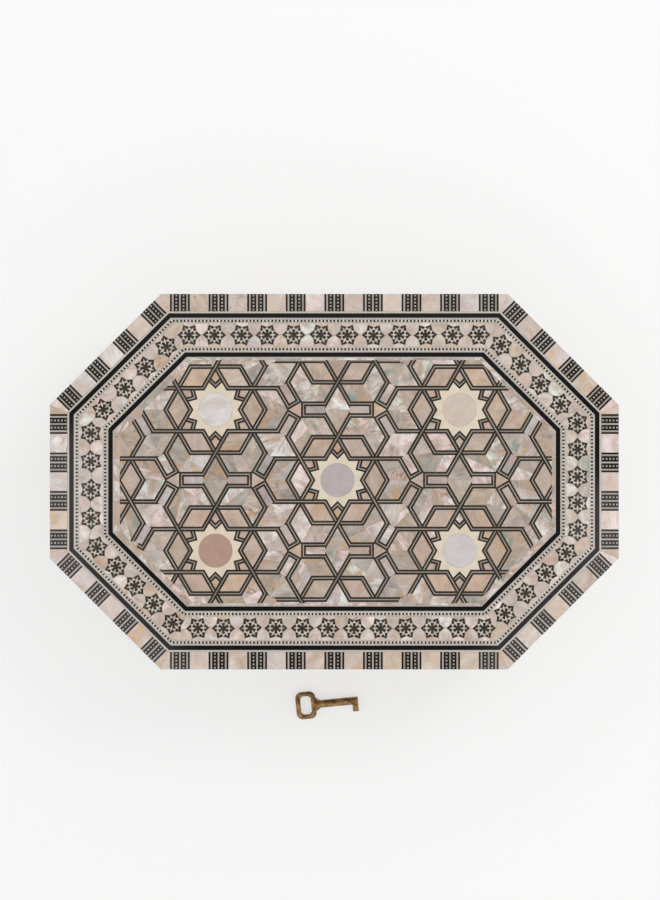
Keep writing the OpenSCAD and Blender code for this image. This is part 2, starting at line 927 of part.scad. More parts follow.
stump_right = 8.25;
stump_drop = 1.8;
stump_x = leg_right + stump_right;
stump_z = bolt_high - stump_drop;
stump_r = 1;

module lock_case() {
  top = base_h - plate_t;
  color(brass) difference() {
    at_front() {
      translate([-plate_w / 2, inner_y, base_h - plate_h]) cube([plate_w, plate_t, plate_h]);
      translate([-plate_w / 2, wall_t - lock_depth, top]) cube([plate_w, lock_depth, plate_t]);
      upright(wall_t - lock_depth + case_t, inner_y) difference() {
        translate([-case_w / 2, case_low]) square([case_w, top - case_low + case_t / 2]);
        translate([-case_in, case_low + case_t]) square([2 * case_in, top - case_low - case_t]);
      }
      upright(wall_t - lock_depth + case_t, inner_y + case_t / 2)
        translate([stump_x, stump_z]) circle(stump_r);
    }
    at_front() {
      translate([leg_right - leg_w - 0.8, leg_y0 - 0.6, top - CUT])
        cube([leg_w + 1.6, inner_y - leg_y0 + 0.6, plate_t + 2 * CUT]);
      upright(inner_y - CUT, wall_t + CUT) translate([0, key_z]) circle(drill_pin_r + 0.02);
    }
    at_lock_screws() screw(lock_screw_l, screw_fit);
  }
}

module lock_cap() {
  color("#9a7b40") at_front()
    upright(wall_t - lock_depth, wall_t - lock_depth + case_t - 0.02) difference() {
      translate([-case_w / 2, case_low])
        square([case_w, base_h - plate_t - case_low - 0.02]);
      keyhole();
    }
}

module drill_pin() {
  color("#c8c8c8") at_front() upright(side_t, wall_t)
    translate([0, key_z]) circle(drill_pin_r);
}

// Bowed strip between the selvedge and the bolt's back
module lock_spring() {
  span = 12;
  rise = base_h - plate_t - bolt_high - 2 * slide_fit;
  strip = 0.4;
  sag = rise - strip;
  bow_r = (span * span / 4 + sag * sag) / (2 * sag);
  color("#bfc3c8") at_front() upright(inner_y - bolt_t, inner_y - slide_fit)
    translate([5, bolt_high + slide_fit]) intersection() {
      translate([0, bow_r + strip]) difference() {
        circle(bow_r + strip, $fn = 96);
        circle(bow_r, $fn = 96);
      }
      translate([-span / 2, 0]) square([span, rise]);
    }
}

module lock_screws() {
  color(brass) at_lock_screws() slotted_screw(lock_screw_l);
}

module lock_bolt() {
  slot_r = stump_r + slide_fit;
  color("#8c7f6a") at_front()
    upright(inner_y - slide_fit - bolt_t, inner_y - slide_fit) difference() {
      union() {
        translate([body_left, bolt_low]) square([body_right - body_left, bolt_high - bolt_low]);
        translate([beak_tip, beak_z - beak_h / 2]) square([1 + body_left - beak_tip, beak_h]);
      }
      talon_w = bit_t + 2.2;
      talon_h = bit_h - 0.5;
      translate([0.1, bolt_low - CUT]) square([talon_w, talon_h + CUT]);
      for (x = [stump_x, stump_x + bolt_throw]) translate([x, stump_z]) circle(slot_r);
      translate([stump_x, stump_z - slot_r]) square([bolt_throw, 2 * slot_r]);
    }
}

// ---- Strike plate under the lid's front rail ----

leg_y0 = inner_y - 2;
strike_w = 38;
strike_t = 1;
strike_y0 = leg_y0 - 1.4;
strike_y1 = wall_t - 0.4;
strike_screw_x = 16.4;
leg_low = beak_z - beak_h / 2 - 1.9;

module strike_bed() {
  at_front() translate([-strike_w / 2 - 0.1, strike_y0 - 0.1, lid_z - CUT])
    cube([strike_w + 0.2, strike_y1 - strike_y0 + 0.2, strike_t + CUT]);
}

module at_strike_screws() {
  at_front() for (x = [-strike_screw_x, strike_screw_x])
    translate([x, (strike_y0 + strike_y1) / 2, lid_z]) rotate([180, 0, 0]) children();
}

module strike_plate() {
  notch_h = beak_h + 0.6;
  color(brass) difference() {
    at_front() {
      translate([-strike_w / 2, strike_y0, lid_z])
        cube([strike_w, strike_y1 - strike_y0, strike_t]);
      upright(leg_y0, leg_y0 + leg_t) difference() {
        translate([leg_right - leg_w, leg_low]) square([leg_w, lid_z + strike_t - leg_low]);
        translate([leg_right - bolt_throw, beak_z - notch_h / 2])
          square([bolt_throw + CUT, notch_h]);
      }
    }
    at_strike_screws() screw(leaf_screw_l, screw_fit);
  }
}

module strike_screws() {
  color(brass) at_strike_screws() slotted_screw(leaf_screw_l);
}

// ---- Escutcheon on the front wall ----

escutcheon_t = 0.8;
pin_nail_r = 0.5;
pin_nail_l = 3;
pin_head_r = 0.9;
plate_r = 6.6;
foot_r = 4.6;
foot_drop = 7.4;

module escutcheon() {
  color(brass) difference() {
    at_front() upright(-escutcheon_t, 0) difference() {
      union() {
        translate([0, key_z]) circle(plate_r);
        translate([0, key_z - foot_drop]) circle(foot_r);
      }
      keyhole();
    }
    at_escutcheon_pins() cylinder(h = wall_t, r = pin_nail_r + screw_fit, center = true);
  }
}

// Nails above and below the keyhole, pointing into the wall
module at_escutcheon_pins() {
  for (z = [key_z + 4.6, key_z - foot_drop - 2.4])
    at_front() translate([0, 0, z]) rotate([-90, 0, 0]) children();
}

module escutcheon_pins() {
  color("#9a7b40") at_escutcheon_pins() {
    translate([0, 0, -escutcheon_t - 0.4]) cylinder(h = 0.4, r1 = 0.6, r2 = pin_head_r);
    translate([0, 0, -escutcheon_t - 0.1]) cylinder(h = pin_nail_l, r = pin_nail_r);
  }
}

// ---- Key, lying in front of the box ----

// Rounded rectangle around the origin, with true arcs
module rounded(l, w, r) {
  square([l - 2 * r, w], center = true);
  square([l, w - 2 * r], center = true);
  for (x = [-1, 1]) for (y = [-1, 1])
    translate([x * (l / 2 - r), y * (w / 2 - r)]) circle(r);
}

key_bore_l = 12;
key_bore_fit = 0.1;
bow_corner_r = 3.6;
hole_r = 2.2;
flare_l = 3;
flare_w = 8.4;

module key() {
  hole_l = bow_l - 2 * (bow_rim + 0.25);
  hole_w = bow_w - 2 * bow_rim;
  tip_x = key_l - bow_l / 2;
  color("#8a6236")
    translate([-key_left, -box_w / 2 - key_gap, barrel_r]) rotate([0, 0, key_turn])
      difference() {
        union() {
          translate([0, 0, -bow_t / 2]) linear_extrude(bow_t) {
            rounded(bow_l, bow_w, bow_corner_r);
            translate([bow_l / 2 - 0.5, 0])
              polygon([[0, -flare_w / 2], [flare_l, -barrel_r], [flare_l, barrel_r], [0, flare_w / 2]]);
          }
          translate([bow_l / 2 - bow_rim / 2, 0, 0]) rotate([0, 90, 0])
            cylinder(h = tip_x - bow_l / 2 + bow_rim / 2, r = barrel_r);
          translate([tip_x - bit_l, -barrel_r - bit_h, -bit_t / 2])
            cube([bit_l, barrel_r + bit_h, bit_t]);
        }
        translate([0, 0, -bow_t]) linear_extrude(2 * bow_t) rounded(hole_l, hole_w, hole_r);
        translate([tip_x - key_bore_l, 0, 0]) rotate([0, 90, 0])
          cylinder(h = key_bore_l + CUT, r = drill_pin_r + key_bore_fit);
      }
}

front_wall();
back_wall();
left_wall();
right_wall();
corner_wall_front_left();
corner_wall_front_right();
corner_wall_back_left();
corner_wall_back_right();
bottom_panel();
base_felt();
wall_lining();
floor_pad();
base_side_banding();
base_side_pearl();
base_side_straps();
base_side_stars();
base_side_discs();
escutcheon();
escutcheon_pins();
lock_case();
lock_cap();
drill_pin();
lock_spring();
lock_screws();
hinge_leaf_base();
hinge_pins();
hinge_screws_base();
lock_bolt();
lid_board();
lid_front_rail();
lid_back_rail();
lid_left_rail();
lid_right_rail();
lid_corner_rail_front_left();
lid_corner_rail_front_right();
lid_corner_rail_back_left();
lid_corner_rail_back_right();
lid_pad();
lid_wall_lining();
lid_side_banding();
lid_side_pearl();
lid_side_rosettes();
border_pearl();
border_ebony();
border_bone();
bone_lines();
ebony_bands();
dotted_bands();
rosette_ground();
rosettes();
strapwork();
pearl_chips();
bone_stars();
star_discs();
strike_plate();
strike_screws();
hinge_leaf_lid();
hinge_screws_lid();
key();
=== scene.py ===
# %% [markdown]
# # An inlaid jewellery box
#
# The box is eight mitred walnut boards around a bottom, with a lid made the same way. Its skin is
# marquetry: chips of mother of pearl between thin lines of ebony and bone, all polished level
# under clear lacquer. The boards, hinges and lock come ready from the packed model. This script
# lays the inlay, lines the inside with velvet, works the finishes and sets up the studio.

import cmath
import json
import math
import random

import bpy
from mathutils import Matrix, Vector


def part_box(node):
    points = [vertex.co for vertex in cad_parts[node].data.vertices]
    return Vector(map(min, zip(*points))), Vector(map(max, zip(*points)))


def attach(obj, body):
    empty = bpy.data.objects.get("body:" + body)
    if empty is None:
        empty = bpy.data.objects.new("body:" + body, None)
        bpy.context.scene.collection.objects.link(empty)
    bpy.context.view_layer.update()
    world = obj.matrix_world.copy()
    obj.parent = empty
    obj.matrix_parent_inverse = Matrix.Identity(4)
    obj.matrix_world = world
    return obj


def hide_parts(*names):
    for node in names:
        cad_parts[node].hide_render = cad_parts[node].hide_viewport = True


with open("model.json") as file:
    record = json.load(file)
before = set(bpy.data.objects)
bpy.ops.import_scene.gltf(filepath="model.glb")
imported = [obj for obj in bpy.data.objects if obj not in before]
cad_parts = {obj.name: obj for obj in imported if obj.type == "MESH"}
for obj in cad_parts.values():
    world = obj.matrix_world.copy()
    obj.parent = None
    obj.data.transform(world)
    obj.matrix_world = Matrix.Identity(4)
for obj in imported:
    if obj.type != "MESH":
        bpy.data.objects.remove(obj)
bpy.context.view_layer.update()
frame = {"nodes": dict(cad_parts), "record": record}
bpy.ops.object.select_all(action="DESELECT")
NODES = frame["nodes"]
BODY = {node: body for body, nodes in frame["record"]["behaviour"]["bodies"].items()
        for node in nodes}
SLOT = {part["node"]: part["material_slot"] for part in frame["record"]["subparts"]}

# %% [markdown]
# ## Flat drawing with complex numbers
#
# All the inlay is drawn flat before it is set into a face. A point of the drawing is a complex
# number, x + yj in metres, because turning it is then one multiplication. Every chip is cut by
# straight lines, as on a saw, so one function that keeps the part of an outline on the left of a
# line is enough to mitre, trim and fit all of them.

# %% Points and outlines
MM = 0.001
GLUE = 0.05 * MM


def polar(radius, degrees):
    return cmath.rect(radius, math.radians(degrees))


def unit(way):
    return way / abs(way)


def edges(cell):
    return list(zip(cell, cell[1:] + cell[:1]))


def moved(cell, turn, shift=0):
    """The cell turned and scaled by one complex number and shifted by another."""
    return [shift + turn * p for p in cell]


def mirrored(cell):
    """The cell flipped over the x axis, and listed backwards to stay anticlockwise."""
    return [complex(p).conjugate() for p in reversed(cell)]


print("a sixth of a turn takes 1 to", polar(1, 60))

# %% Cuts
LEAST_AREA = 0.04 * MM * MM


def clip(cell, at, way):
    """The part of a cell on the left of the line through at that runs along way."""
    side = [((p - at) * way.conjugate()).imag for p in cell]
    kept = []
    for i, (p, s) in enumerate(zip(cell, side)):
        q, t = cell[i - 1], side[i - 1]
        if (s > 0) != (t > 0):
            kept.append(q + (p - q) * t / (t - s))
        if s > 0:
            kept.append(p)
    return kept


def trimmed(cell, cuts):
    """The cell after a list of cuts, each a point and a direction; empty if little is left."""
    for at, way in cuts:
        cell = clip(cell, at, way)
    return cell if len(cell) > 2 and area(cell) > LEAST_AREA else []


def area(cell):
    return sum((p.conjugate() * q).imag for p, q in edges(cell)) / 2


def keep(at, way, inside):
    """The cut along a line that leaves the part where the point inside is."""
    return (at, way) if ((inside - at) * way.conjugate()).imag > 0 else (at, -way)


def beside(at, way, inside, distance):
    """The same for a line that lies a distance nearer to inside."""
    cut_at, cut_way = keep(at, way, inside)
    return cut_at + 1j * cut_way / abs(cut_way) * distance, cut_way


print("a square cut in half has", len(clip([0, 1, 1 + 1j, 1j], 0.5 + 0j, 1j)), "corners")


# %% Insets
def inset(cell, distance):
    """An anticlockwise cell with its edges moved inwards by a distance, or each by its own."""
    own = distance if isinstance(distance, list) else [distance] * len(cell)
    corners = []
    for i, p in enumerate(cell):
        before, after = p - cell[i - 1], cell[(i + 1) % len(cell)] - p
        a, b = 1j * before / abs(before), 1j * after / abs(after)
        da, db = own[i - 1], own[i]
        c = (a * b.conjugate()).real
        corners.append(p + ((da - db * c) * a + (db - da * c) * b) / (1 - c * c))
    return corners


def outline_cuts(corners):
    """The cuts that leave what lies inside an anticlockwise outline."""
    return [(p, q - p) for p, q in edges(corners)]


print("a square of 10 moved in by 1 is", inset([0, 10, 10 + 10j, 10j], 1))

# %% [markdown]
# ## The octagon and its eight faces
#
# The plan is a rectangle with its corners cut back. Its sizes are read off the packed boards, so
# the drawing always fits them. Side k runs anticlockwise from corner k, starting at the front
# right; seen from outside, its drawing's x goes right and its y goes up.

# %% Plan and places
low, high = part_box("border_pearl")
LENGTH, WIDTH, TOP, CHIP_THICK = high.x - low.x, high.y - low.y, high.z, high.z - low.z
LONG_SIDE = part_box("front_wall")[1].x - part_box("front_wall")[0].x
SIDES = range(8)
FRONT = 7


def plan(d):
    """Corners of the octagon, moved inwards by d."""
    x, y = LENGTH / 2 - d, WIDTH / 2 - d
    c = (WIDTH + LONG_SIDE) / 2 - d * math.sqrt(2)
    return [complex(*p) for p in ((c - y, -y), (x, x - c), (x, c - x), (c - y, y),
                                  (y - c, y), (-x, c - x), (-x, x - c), (y - c, -y))]


def side_frame(k, d):
    """Middle of side k at the distance d from the outer face, and the way it runs."""
    p, q = edges(plan(d))[k]
    return (p + q) / 2, unit(q - p)


def side_length(k, d=0.0):
    p, q = edges(plan(d))[k]
    return abs(q - p)


def depth_of(node):
    """How far inside the box's outline a band of the lid starts."""
    return WIDTH / 2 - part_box(node)[1].y - GLUE


def at_height(z):
    """Sets a drawing's point level at the height z."""
    return lambda p: Vector((p.real, p.imag, z))


def on_side(k, z, d=0.0):
    """Sets a drawing's point on side k, with the drawing's origin at the height z."""
    middle, way = side_frame(k, d)

    def place(p):
        flat = middle + way * p.real
        return Vector((flat.real, flat.imag, z + p.imag))
    return place


print(f"plan {LENGTH / MM:.0f} x {WIDTH / MM:.0f} mm, long side {LONG_SIDE / MM:.0f} mm")

# %% [markdown]
# ## Laying chips
#
# A chip is a flat face pushed down to its thickness, as a sawn slip of pearl is. Pushing thousands
# of them by hand would be slow, so the outlines of one kind become one mesh and Solidify gives all
# of them their thickness at once. Each chip also gets its own coordinates, in millimetres along its
# grain, and a number of its own, so that a material can make every chip a different piece of shell.

# %% One object from many outlines
rng = random.Random(20)
LINE_THICK = 0.6 * MM


def new_piece(name, mesh):
    piece = bpy.data.objects.new(name, mesh)
    bpy.context.scene.collection.objects.link(piece)
    bpy.context.view_layer.objects.active = piece
    return piece


def flat_piece(name, groups):
    """One object of flat faces. Each group is a place and the cells that it sets."""
    verts, faces = [], []
    for place, cells in groups:
        for cell in cells:
            faces.append(range(len(verts), len(verts) + len(cell)))
            verts += [place(p) for p in cell]
    mesh = bpy.data.meshes.new(name)
    mesh.from_pydata(verts, [], faces)
    return new_piece(name, mesh)


def apply_modifier(piece, kind, **settings):
    modifier = piece.modifiers.new(kind.title(), kind)
    for name, setting in settings.items():
        setattr(modifier, name, setting)
    bpy.ops.object.modifier_apply(modifier=modifier.name)


print(f"chips are {CHIP_THICK / MM:.1f} mm thick, lines {LINE_THICK / MM:.1f} mm")


# %% Finishes, and chips with coordinates of their own
def painted(piece, material):
    piece.data.materials.clear()
    piece.data.materials.append(material)


def finish_piece(piece, body, slot, node, material):
    """Paints the piece, rides it on its body and hides the packed part that it stands for; slot is
    not used.
    """
    painted(piece, material)
    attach(piece, body)
    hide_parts(node)


def longest_way(cell):
    return unit(max([q - p for p, q in edges(cell)], key=abs))


def laid(name, groups, thick, grain=None, numbers=None):
    """Chips in one object. grain None turns each chip's coordinates at random, and numbers None
    gives each a random number."""
    piece = flat_piece(name, groups)
    chips = [cell for place, cells in groups for cell in cells]
    shells = []
    for i, cell in enumerate(chips):
        centre = sum(cell) / len(cell)
        way = grain(cell) if grain else polar(1, rng.uniform(0, 360))
        number = numbers[i] if numbers else rng.uniform(0, 100)
        for p in cell:
            q = (p - centre) / way / MM
            shells += [q.real, q.imag, number]
    shell = piece.data.attributes.new("shell", "FLOAT_VECTOR", "POINT")
    shell.data.foreach_set("vector", shells)
    apply_modifier(piece, "SOLIDIFY", thickness=thick, offset=-1)
    print(f"{name}: {len(chips)} chips, {len(piece.data.polygons)} faces")
    return piece


def lay(name, groups, material, body, node, chip_thick, line_thick=LINE_THICK, numbers=None):
    """Lays one kind of chip. Bone and ebony, unlike pearl, have their grain along their length."""
    kind = material.name.split("_")[0]
    slot = kind if kind in ("pearl", "ebony") else "bone"
    chips = slot == "pearl"
    piece = laid(name, groups, chip_thick if chips else line_thick,
                 None if chips else longest_way, numbers)
    finish_piece(piece, body, slot, node, material)


print("a chip of 2 by 1 has its grain along", longest_way([0, 2, 2 + 1j, 1j]))

# %% [markdown]
# ## Shader maths as Python
#
# A material here is a few lines of arithmetic. The class wraps one socket, so that a + b or 1 - a
# adds a Math node by itself, and one method adds any other node: its settings first, then the
# values or links of its sockets. Colours are written as they show, from 0 to 255.

# %% The class
class Value:
    def __init__(self, tree, socket=None):
        self.tree, self.socket = tree, socket

    def feed(self, socket, value):
        if isinstance(value, Value):
            self.tree.links.new(value.socket, socket)
        else:
            socket.default_value = value

    def node(self, kind, settings, sockets, output=0):
        node = self.tree.nodes.new("ShaderNode" + kind)
        for name, setting in settings.items():
            if name == "stops":
                while len(node.color_ramp.elements) < len(setting):
                    node.color_ramp.elements.new(1)
                for element, (position, colour) in zip(node.color_ramp.elements, setting):
                    element.position, element.color = position, colour
            else:
                setattr(node, name, setting)
        for name, value in sockets.items():
            self.feed(node.inputs[name], value)
        return Value(self.tree, node.outputs[output])

    def math(self, operation, *values):
        return self.node("Math", {"operation": operation}, dict(enumerate(values)))

    def __add__(self, other):
        return self.math("ADD", self, other)

    def __sub__(self, other):
        return self.math("SUBTRACT", self, other)

    def __rsub__(self, other):
        return self.math("SUBTRACT", other, self)

    def __mul__(self, other):
        return self.math("MULTIPLY", self, other)

    __radd__, __rmul__ = __add__, __mul__

    def absolute(self):
        return self.math("ABSOLUTE", self)

    def above(self, least):
        """This value, or the least one where it is lower."""
        return self.math("MAXIMUM", self, least)

    def step(self, low, high):
        """0 below low, 1 above high, and smooth between."""
        return self.node("MapRange", {"interpolation_type": "SMOOTHSTEP"},
                         {"Value": self, "From Min": low, "From Max": high})

    def mix(self, without, with_it):
        """A colour mixed by this value."""
        return self.node("Mix", {"data_type": "RGBA"}, {0: self, 6: without, 7: with_it}, 2)

    def ramp(self, *stops):
        return self.node("ValToRGB", {"stops": stops}, {"Fac": self})

    def scaled(self, factor):
        """This colour or vector times a number."""
        return self.node("VectorMath", {"operation": "SCALE"}, {0: self, "Scale": factor})

    def stretched(self, x, y, z=1):
        return self.node("VectorMath", {"operation": "MULTIPLY"}, {0: self, 1: (x, y, z)})

    def noise(self, scale, detail, roughness=0.5, distortion=0.0):
        return self.node("TexNoise", {}, {"Vector": self, "Scale": scale, "Detail": detail,
                                          "Roughness": roughness, "Distortion": distortion})

    def part(self, index):
        return self.node("SeparateXYZ", {}, {0: self}, index)

    def dice(self, output=0):
        """A random number, or with output 1 three of them, that this value picks."""
        return self.node("TexWhiteNoise", {"noise_dimensions": "1D"}, {"W": self}, output)


print("a Value has", sum(callable(part) for part in vars(Value).values()), "methods")


# %% Materials, and where their coordinates start
def tone(red, green, blue):
    """A colour as it shows, from 0 to 255, in the linear values that Blender wants."""
    return tuple(((c / 255 + 0.055) / 1.055) ** 2.4 if c > 10 else c / 3295
                 for c in (red, green, blue)) + (1.0,)


def shader(material):
    return material.node_tree.nodes["Principled BSDF"].inputs


def new_material(name, **constants):
    """A material with these constants in its shader, and a start for expressions."""
    material = bpy.data.materials.new(name)
    material.use_nodes = True
    for socket, value in constants.items():
        shader(material)[socket.replace("_", " ")].default_value = value
    return material, Value(material.node_tree)


def worked(material, height, distance, strength, **fed):
    """The material with its sockets fed, and with a relief from this height."""
    fed["Normal"] = height.node("Bump", {}, {"Height": height, "Distance": distance,
                                             "Strength": strength})
    for socket, value in fed.items():
        value.feed(shader(material)[socket.replace("_", " ")], value)
    print(f"{material.name}: {len(material.node_tree.nodes)} nodes")
    return material


def chip_coordinates(start):
    return start.node("Attribute", {"attribute_name": "shell"}, {}, 1)


def own_coordinates(start):
    """Object coordinates in millimetres."""
    return start.node("TexCoord", {}, {}, 3).scaled(1 / MM)


print("grey 128 is", round(tone(128, 128, 128)[0], 3), "in linear light")

# %% [markdown]
# ## Mother of pearl
#
# Shell is cloudy chalk with a silky lustre: no two chips match, because each is sawn from another
# part of a shell and turned another way. The chip's number picks its ground colour. Over it come
# soft clouds, fine growth lines along its grain, and, on some chips only, a painted sheen (a bright
# patch of the lustre painted into the colour), a brown growth line, a pink flush or a speck of
# green. It is dull polish under a clear glossy coat.

# %% Pearl, with its own mood for each use
def nacre(name, grounds, sheen_share=0.0, brown=0.0, green=0.0, amber=0.0, contrast=1.0,
          in_order=False):
    """Pearl with these ground colours, picked at random or by a number from 0 to 100. sheen_share,
    brown, green and amber are the shares of the chips with painted sheen (bright patches of lustre
    painted into the colour), brown lines, green specks and amber clouds."""
    material, start = new_material(
        name, Roughness=0.34, Coat_Weight=1.0, Coat_Roughness=0.05, Specular_IOR_Level=0.15)
    shell = chip_coordinates(start)
    dice = shell.part(2).dice(1)
    first, second, third = (dice.part(i) for i in range(3))

    def clouds(x, y, layer, detail, low, high):
        """Soft patches of their own in each layer of the shell."""
        return shell.stretched(x, y, layer).noise(1, detail, 0.5, 0.6).step(low, high)

    picked = shell.part(2) * 0.01 if in_order else first
    ground = picked.ramp(*[(i / (len(grounds) - 1), tone(*g)) for i, g in enumerate(grounds)])
    cloud = shell.stretched(0.12, 0.18).noise(1, 4, 0.55, 0.6)
    lines = shell.stretched(0.1, 1.1).noise(1, 3, 0.6, 0.3)
    fine = shell.stretched(1.2, 3).noise(1, 3, 0.6)
    light = 1 + (cloud - 0.5) * 1.2 * contrast + (lines - 0.5) * 0.5 * contrast + (fine - 0.5) * 0.5
    colour = ground.scaled(light)

    pink = clouds(0.16, 0.22, 1.3, 2, 0.4, 0.64)
    colour = (pink * second * contrast * 0.65).mix(colour, tone(208, 172, 166))
    tan = clouds(0.12, 0.22, 1.7, 2, 0.46, 0.66)
    colour = (tan * third * contrast * 0.85).mix(colour, tone(190, 152, 112))
    # Painted sheen: on some chips, near-white patches that stand for the shell's lustre are painted
    # into the colour.
    sheen = shell.stretched(0.14, 0.2, 2.1).noise(1, 4, 0.6, 0.4)
    sheen = sheen + (lines - 0.5) * 0.35 + second.step(1 - sheen_share, 1) * 0.1
    painted_sheen_mask = sheen.step(0.42, 0.8) * second.step(1 - sheen_share, 1.1 - sheen_share) * 0.9
    colour = painted_sheen_mask.mix(colour, third.ramp((0, tone(250, 240, 232)), (0.4, tone(244, 222, 222)),
                                           (0.7, tone(226, 244, 232)), (1, tone(248, 246, 248))))
    if amber:
        flame = clouds(0.17, 0.13, 4.3, 2, 0.4, 0.78)
        has = 1 - second.step(amber - 0.02, amber)
        colour = (flame * has * 0.85).mix(colour, third.ramp(
            (0, tone(208, 152, 84)), (0.4, tone(222, 190, 148)), (1, tone(168, 138, 116))))
    vein = (shell.stretched(0.08, 0.2, 3.3).noise(1, 1, 0.5, 0.6) - 0.5).absolute()
    growth = (1 - vein.step(0.003, 0.03)) * third.step(1 - brown, 1.15 - brown)
    colour = (growth * cloud.step(0.45, 0.58) * 0.7).mix(colour, tone(148, 104, 68))
    speck = clouds(0.12, 0.2, 5.1, 3, 0.46, 0.74)
    colour = (speck * first.step(1 - green, 1.03 - green) * 0.8).mix(colour, tone(112, 150, 142))
    return worked(material, lines + fine * 0.4, 0.00003, 0.5, Base_Color=colour)


# %% The six kinds of pearl
pearl_field = nacre(
    "pearl_field", [(184, 168, 150), (166, 164, 156), (170, 152, 134), (196, 184, 174),
                    (156, 149, 141), (200, 191, 186), (178, 158, 138), (188, 177, 167)],
    sheen_share=0.55, brown=0.4, green=0.22)
pearl_plain = nacre("pearl_plain", [(202, 178, 154), (184, 166, 150), (196, 180, 167)],
                    sheen_share=0.12, brown=0.2, contrast=0.7)
pearl_arm = nacre("pearl_arm", [(192, 186, 186), (184, 166, 156), (168, 160, 160)],
                  sheen_share=0.2, brown=0.2, contrast=0.7)
pearl_pale = nacre(
    "pearl_pale", [(210, 196, 184), (198, 184, 170), (212, 207, 205), (198, 172, 144),
                   (216, 207, 198), (202, 187, 180), (190, 180, 172)],
    sheen_share=0.4, brown=0.25, green=0.08, contrast=0.8)
pearl_border = nacre(
    "pearl_border", [(213, 202, 195), (203, 196, 197), (215, 197, 178), (212, 206, 205),
                     (201, 184, 168), (214, 201, 188), (190, 177, 168)],
    sheen_share=0.22, brown=0.15, amber=0.5, contrast=0.5)
pearl_disc = nacre(
    "pearl_disc", [(178, 148, 132), (220, 214, 212), (184, 174, 174), (208, 202, 200),
                   (208, 194, 182)], contrast=0.28, in_order=True)

# %% [markdown]
# ## Bone and ebony
#
# The light lines are bone and pale wood, each slip a little greyer or creamier than the next. The
# dark lines are ebony, never quite black. Both read the same chip coordinates as the pearl does.
# The long rings come from the packed model and have no such coordinates, so they read Object
# coordinates instead.

# %% Slips of bone and of ebony
def slip(name, dark, light, grain_strength, rough, own=True):
    """A fine grained slip whose tone runs from dark to light with its number."""
    material, start = new_material(
        name, Roughness=rough, Coat_Weight=1.0, Coat_Roughness=0.05, Specular_IOR_Level=0.1)
    where = chip_coordinates(start) if own else own_coordinates(start)
    pick = where.part(2).dice() if own else where.noise(0.12, 2)
    grain = where.stretched(0.8, 5).noise(1, 3)
    pores = where.stretched(2, 12).noise(1, 2).step(0.6, 0.75)
    colour = pick.mix(tone(*dark), tone(*light))
    colour = colour.scaled(1 + (grain - 0.5) * grain_strength - pores * 0.06)
    return worked(material, grain, 0.00002, 0.4, Base_Color=colour)


bone_slip = slip("bone_slip", (182, 174, 164), (212, 204, 192), 0.2, 0.4)
strap_slip = slip("strap_slip", (134, 126, 116), (172, 164, 152), 0.2, 0.4)
grey_slip = slip("grey_slip", (150, 144, 134), (184, 176, 166), 0.2, 0.4)
bone_star = slip("bone_star", (218, 204, 182), (226, 214, 194), 0.12, 0.38)
bone_ring = slip("bone_ring", (184, 178, 170), (206, 200, 190), 0.12, 0.4, own=False)
ebony_mark = slip("ebony_mark", (46, 40, 34), (70, 61, 52), 0.5, 0.42)
ebony_strap = slip("ebony_strap", (40, 35, 30), (62, 55, 48), 0.5, 0.42)
ebony_slip = slip("ebony_slip", (18, 15, 12), (34, 28, 24), 0.5, 0.42)
ebony_ring = slip("ebony_ring", (10, 9, 8), (15, 13, 12), 0.4, 0.42, own=False)

# %% [markdown]
# ## The star pattern
#
# The lid's pattern is one figure: a star whose six straps leave it at the distance s, run straight
# for 2s through a crossing, turn, and end in a short tail, where a cap joins them to a neighbour's.
# A hexagon strap runs through the same crossings. Working the strips out from that rule keeps every
# mitre true, and the cells between the straps follow from the same points.

# %% Sizes of the pattern
PITCH = 74.3 * MM
S = 13.1 * MM
TAIL = 11.4 * MM
STRAP = 2.5 * MM
WHITE_LINE = 0.58 * MM
CHEVRON = 10.9 * MM
DISC = 8.9 * MM
STRAP_END = 1.2 * MM
ROOT3 = math.sqrt(3)
SIXTHS = [polar(1, 60 * k) for k in range(6)]
EDGE = STRAP / 2 + GLUE
LEAST_STRAP = 5 * MM * MM
LEFT_OUT_REACH = 2.5 * MM
SEAM = GLUE / 4
ARM_HALF = PITCH / 2 - 1.5 * ROOT3 * S
ARM_END = S / 2 + TAIL
HEART_TIP = 2 * ARM_HALF / ROOT3
HEART = PITCH / 2 - ROOT3 * S
LINES = {"white": [(-WHITE_LINE / 2, WHITE_LINE / 2)],
         "black": [(-STRAP / 2, -WHITE_LINE / 2 - GLUE / 2),
                   (WHITE_LINE / 2 + GLUE / 2, STRAP / 2)]}
print(f"arms {2 * ARM_HALF / MM:.1f} mm wide, {ARM_END / MM:.1f} mm from a figure's middle")


# %% Paths that are mitred at their turns, and broken where they pass under
def segments(points, under=None, closed=False):
    """Pieces of a path, each two ends and the cuts that trim it. under gives, for a segment, the
    straps that pass over it: where, and which way they run."""
    count = len(points)
    for i in range(count if closed else count - 1):
        a, b = points[i], points[(i + 1) % count]
        start, end = [keep(a, 1j * (b - a), b)], [keep(b, 1j * (b - a), a)]
        if i > 0 or closed:
            start = [keep(a, unit(points[i - 1] - a) + unit(b - a), b)]
        if i < count - 2 or closed:
            end = [keep(b, unit(a - b) + unit(points[(i + 2) % count] - b), a)]
        over = (under or {}).get(i, [])
        if over:
            for cuts, tip in ((start, a), (end, b)):
                yield a, b, cuts + [beside(at, way, tip, EDGE) for at, way in over]
        else:
            yield a, b, start + end


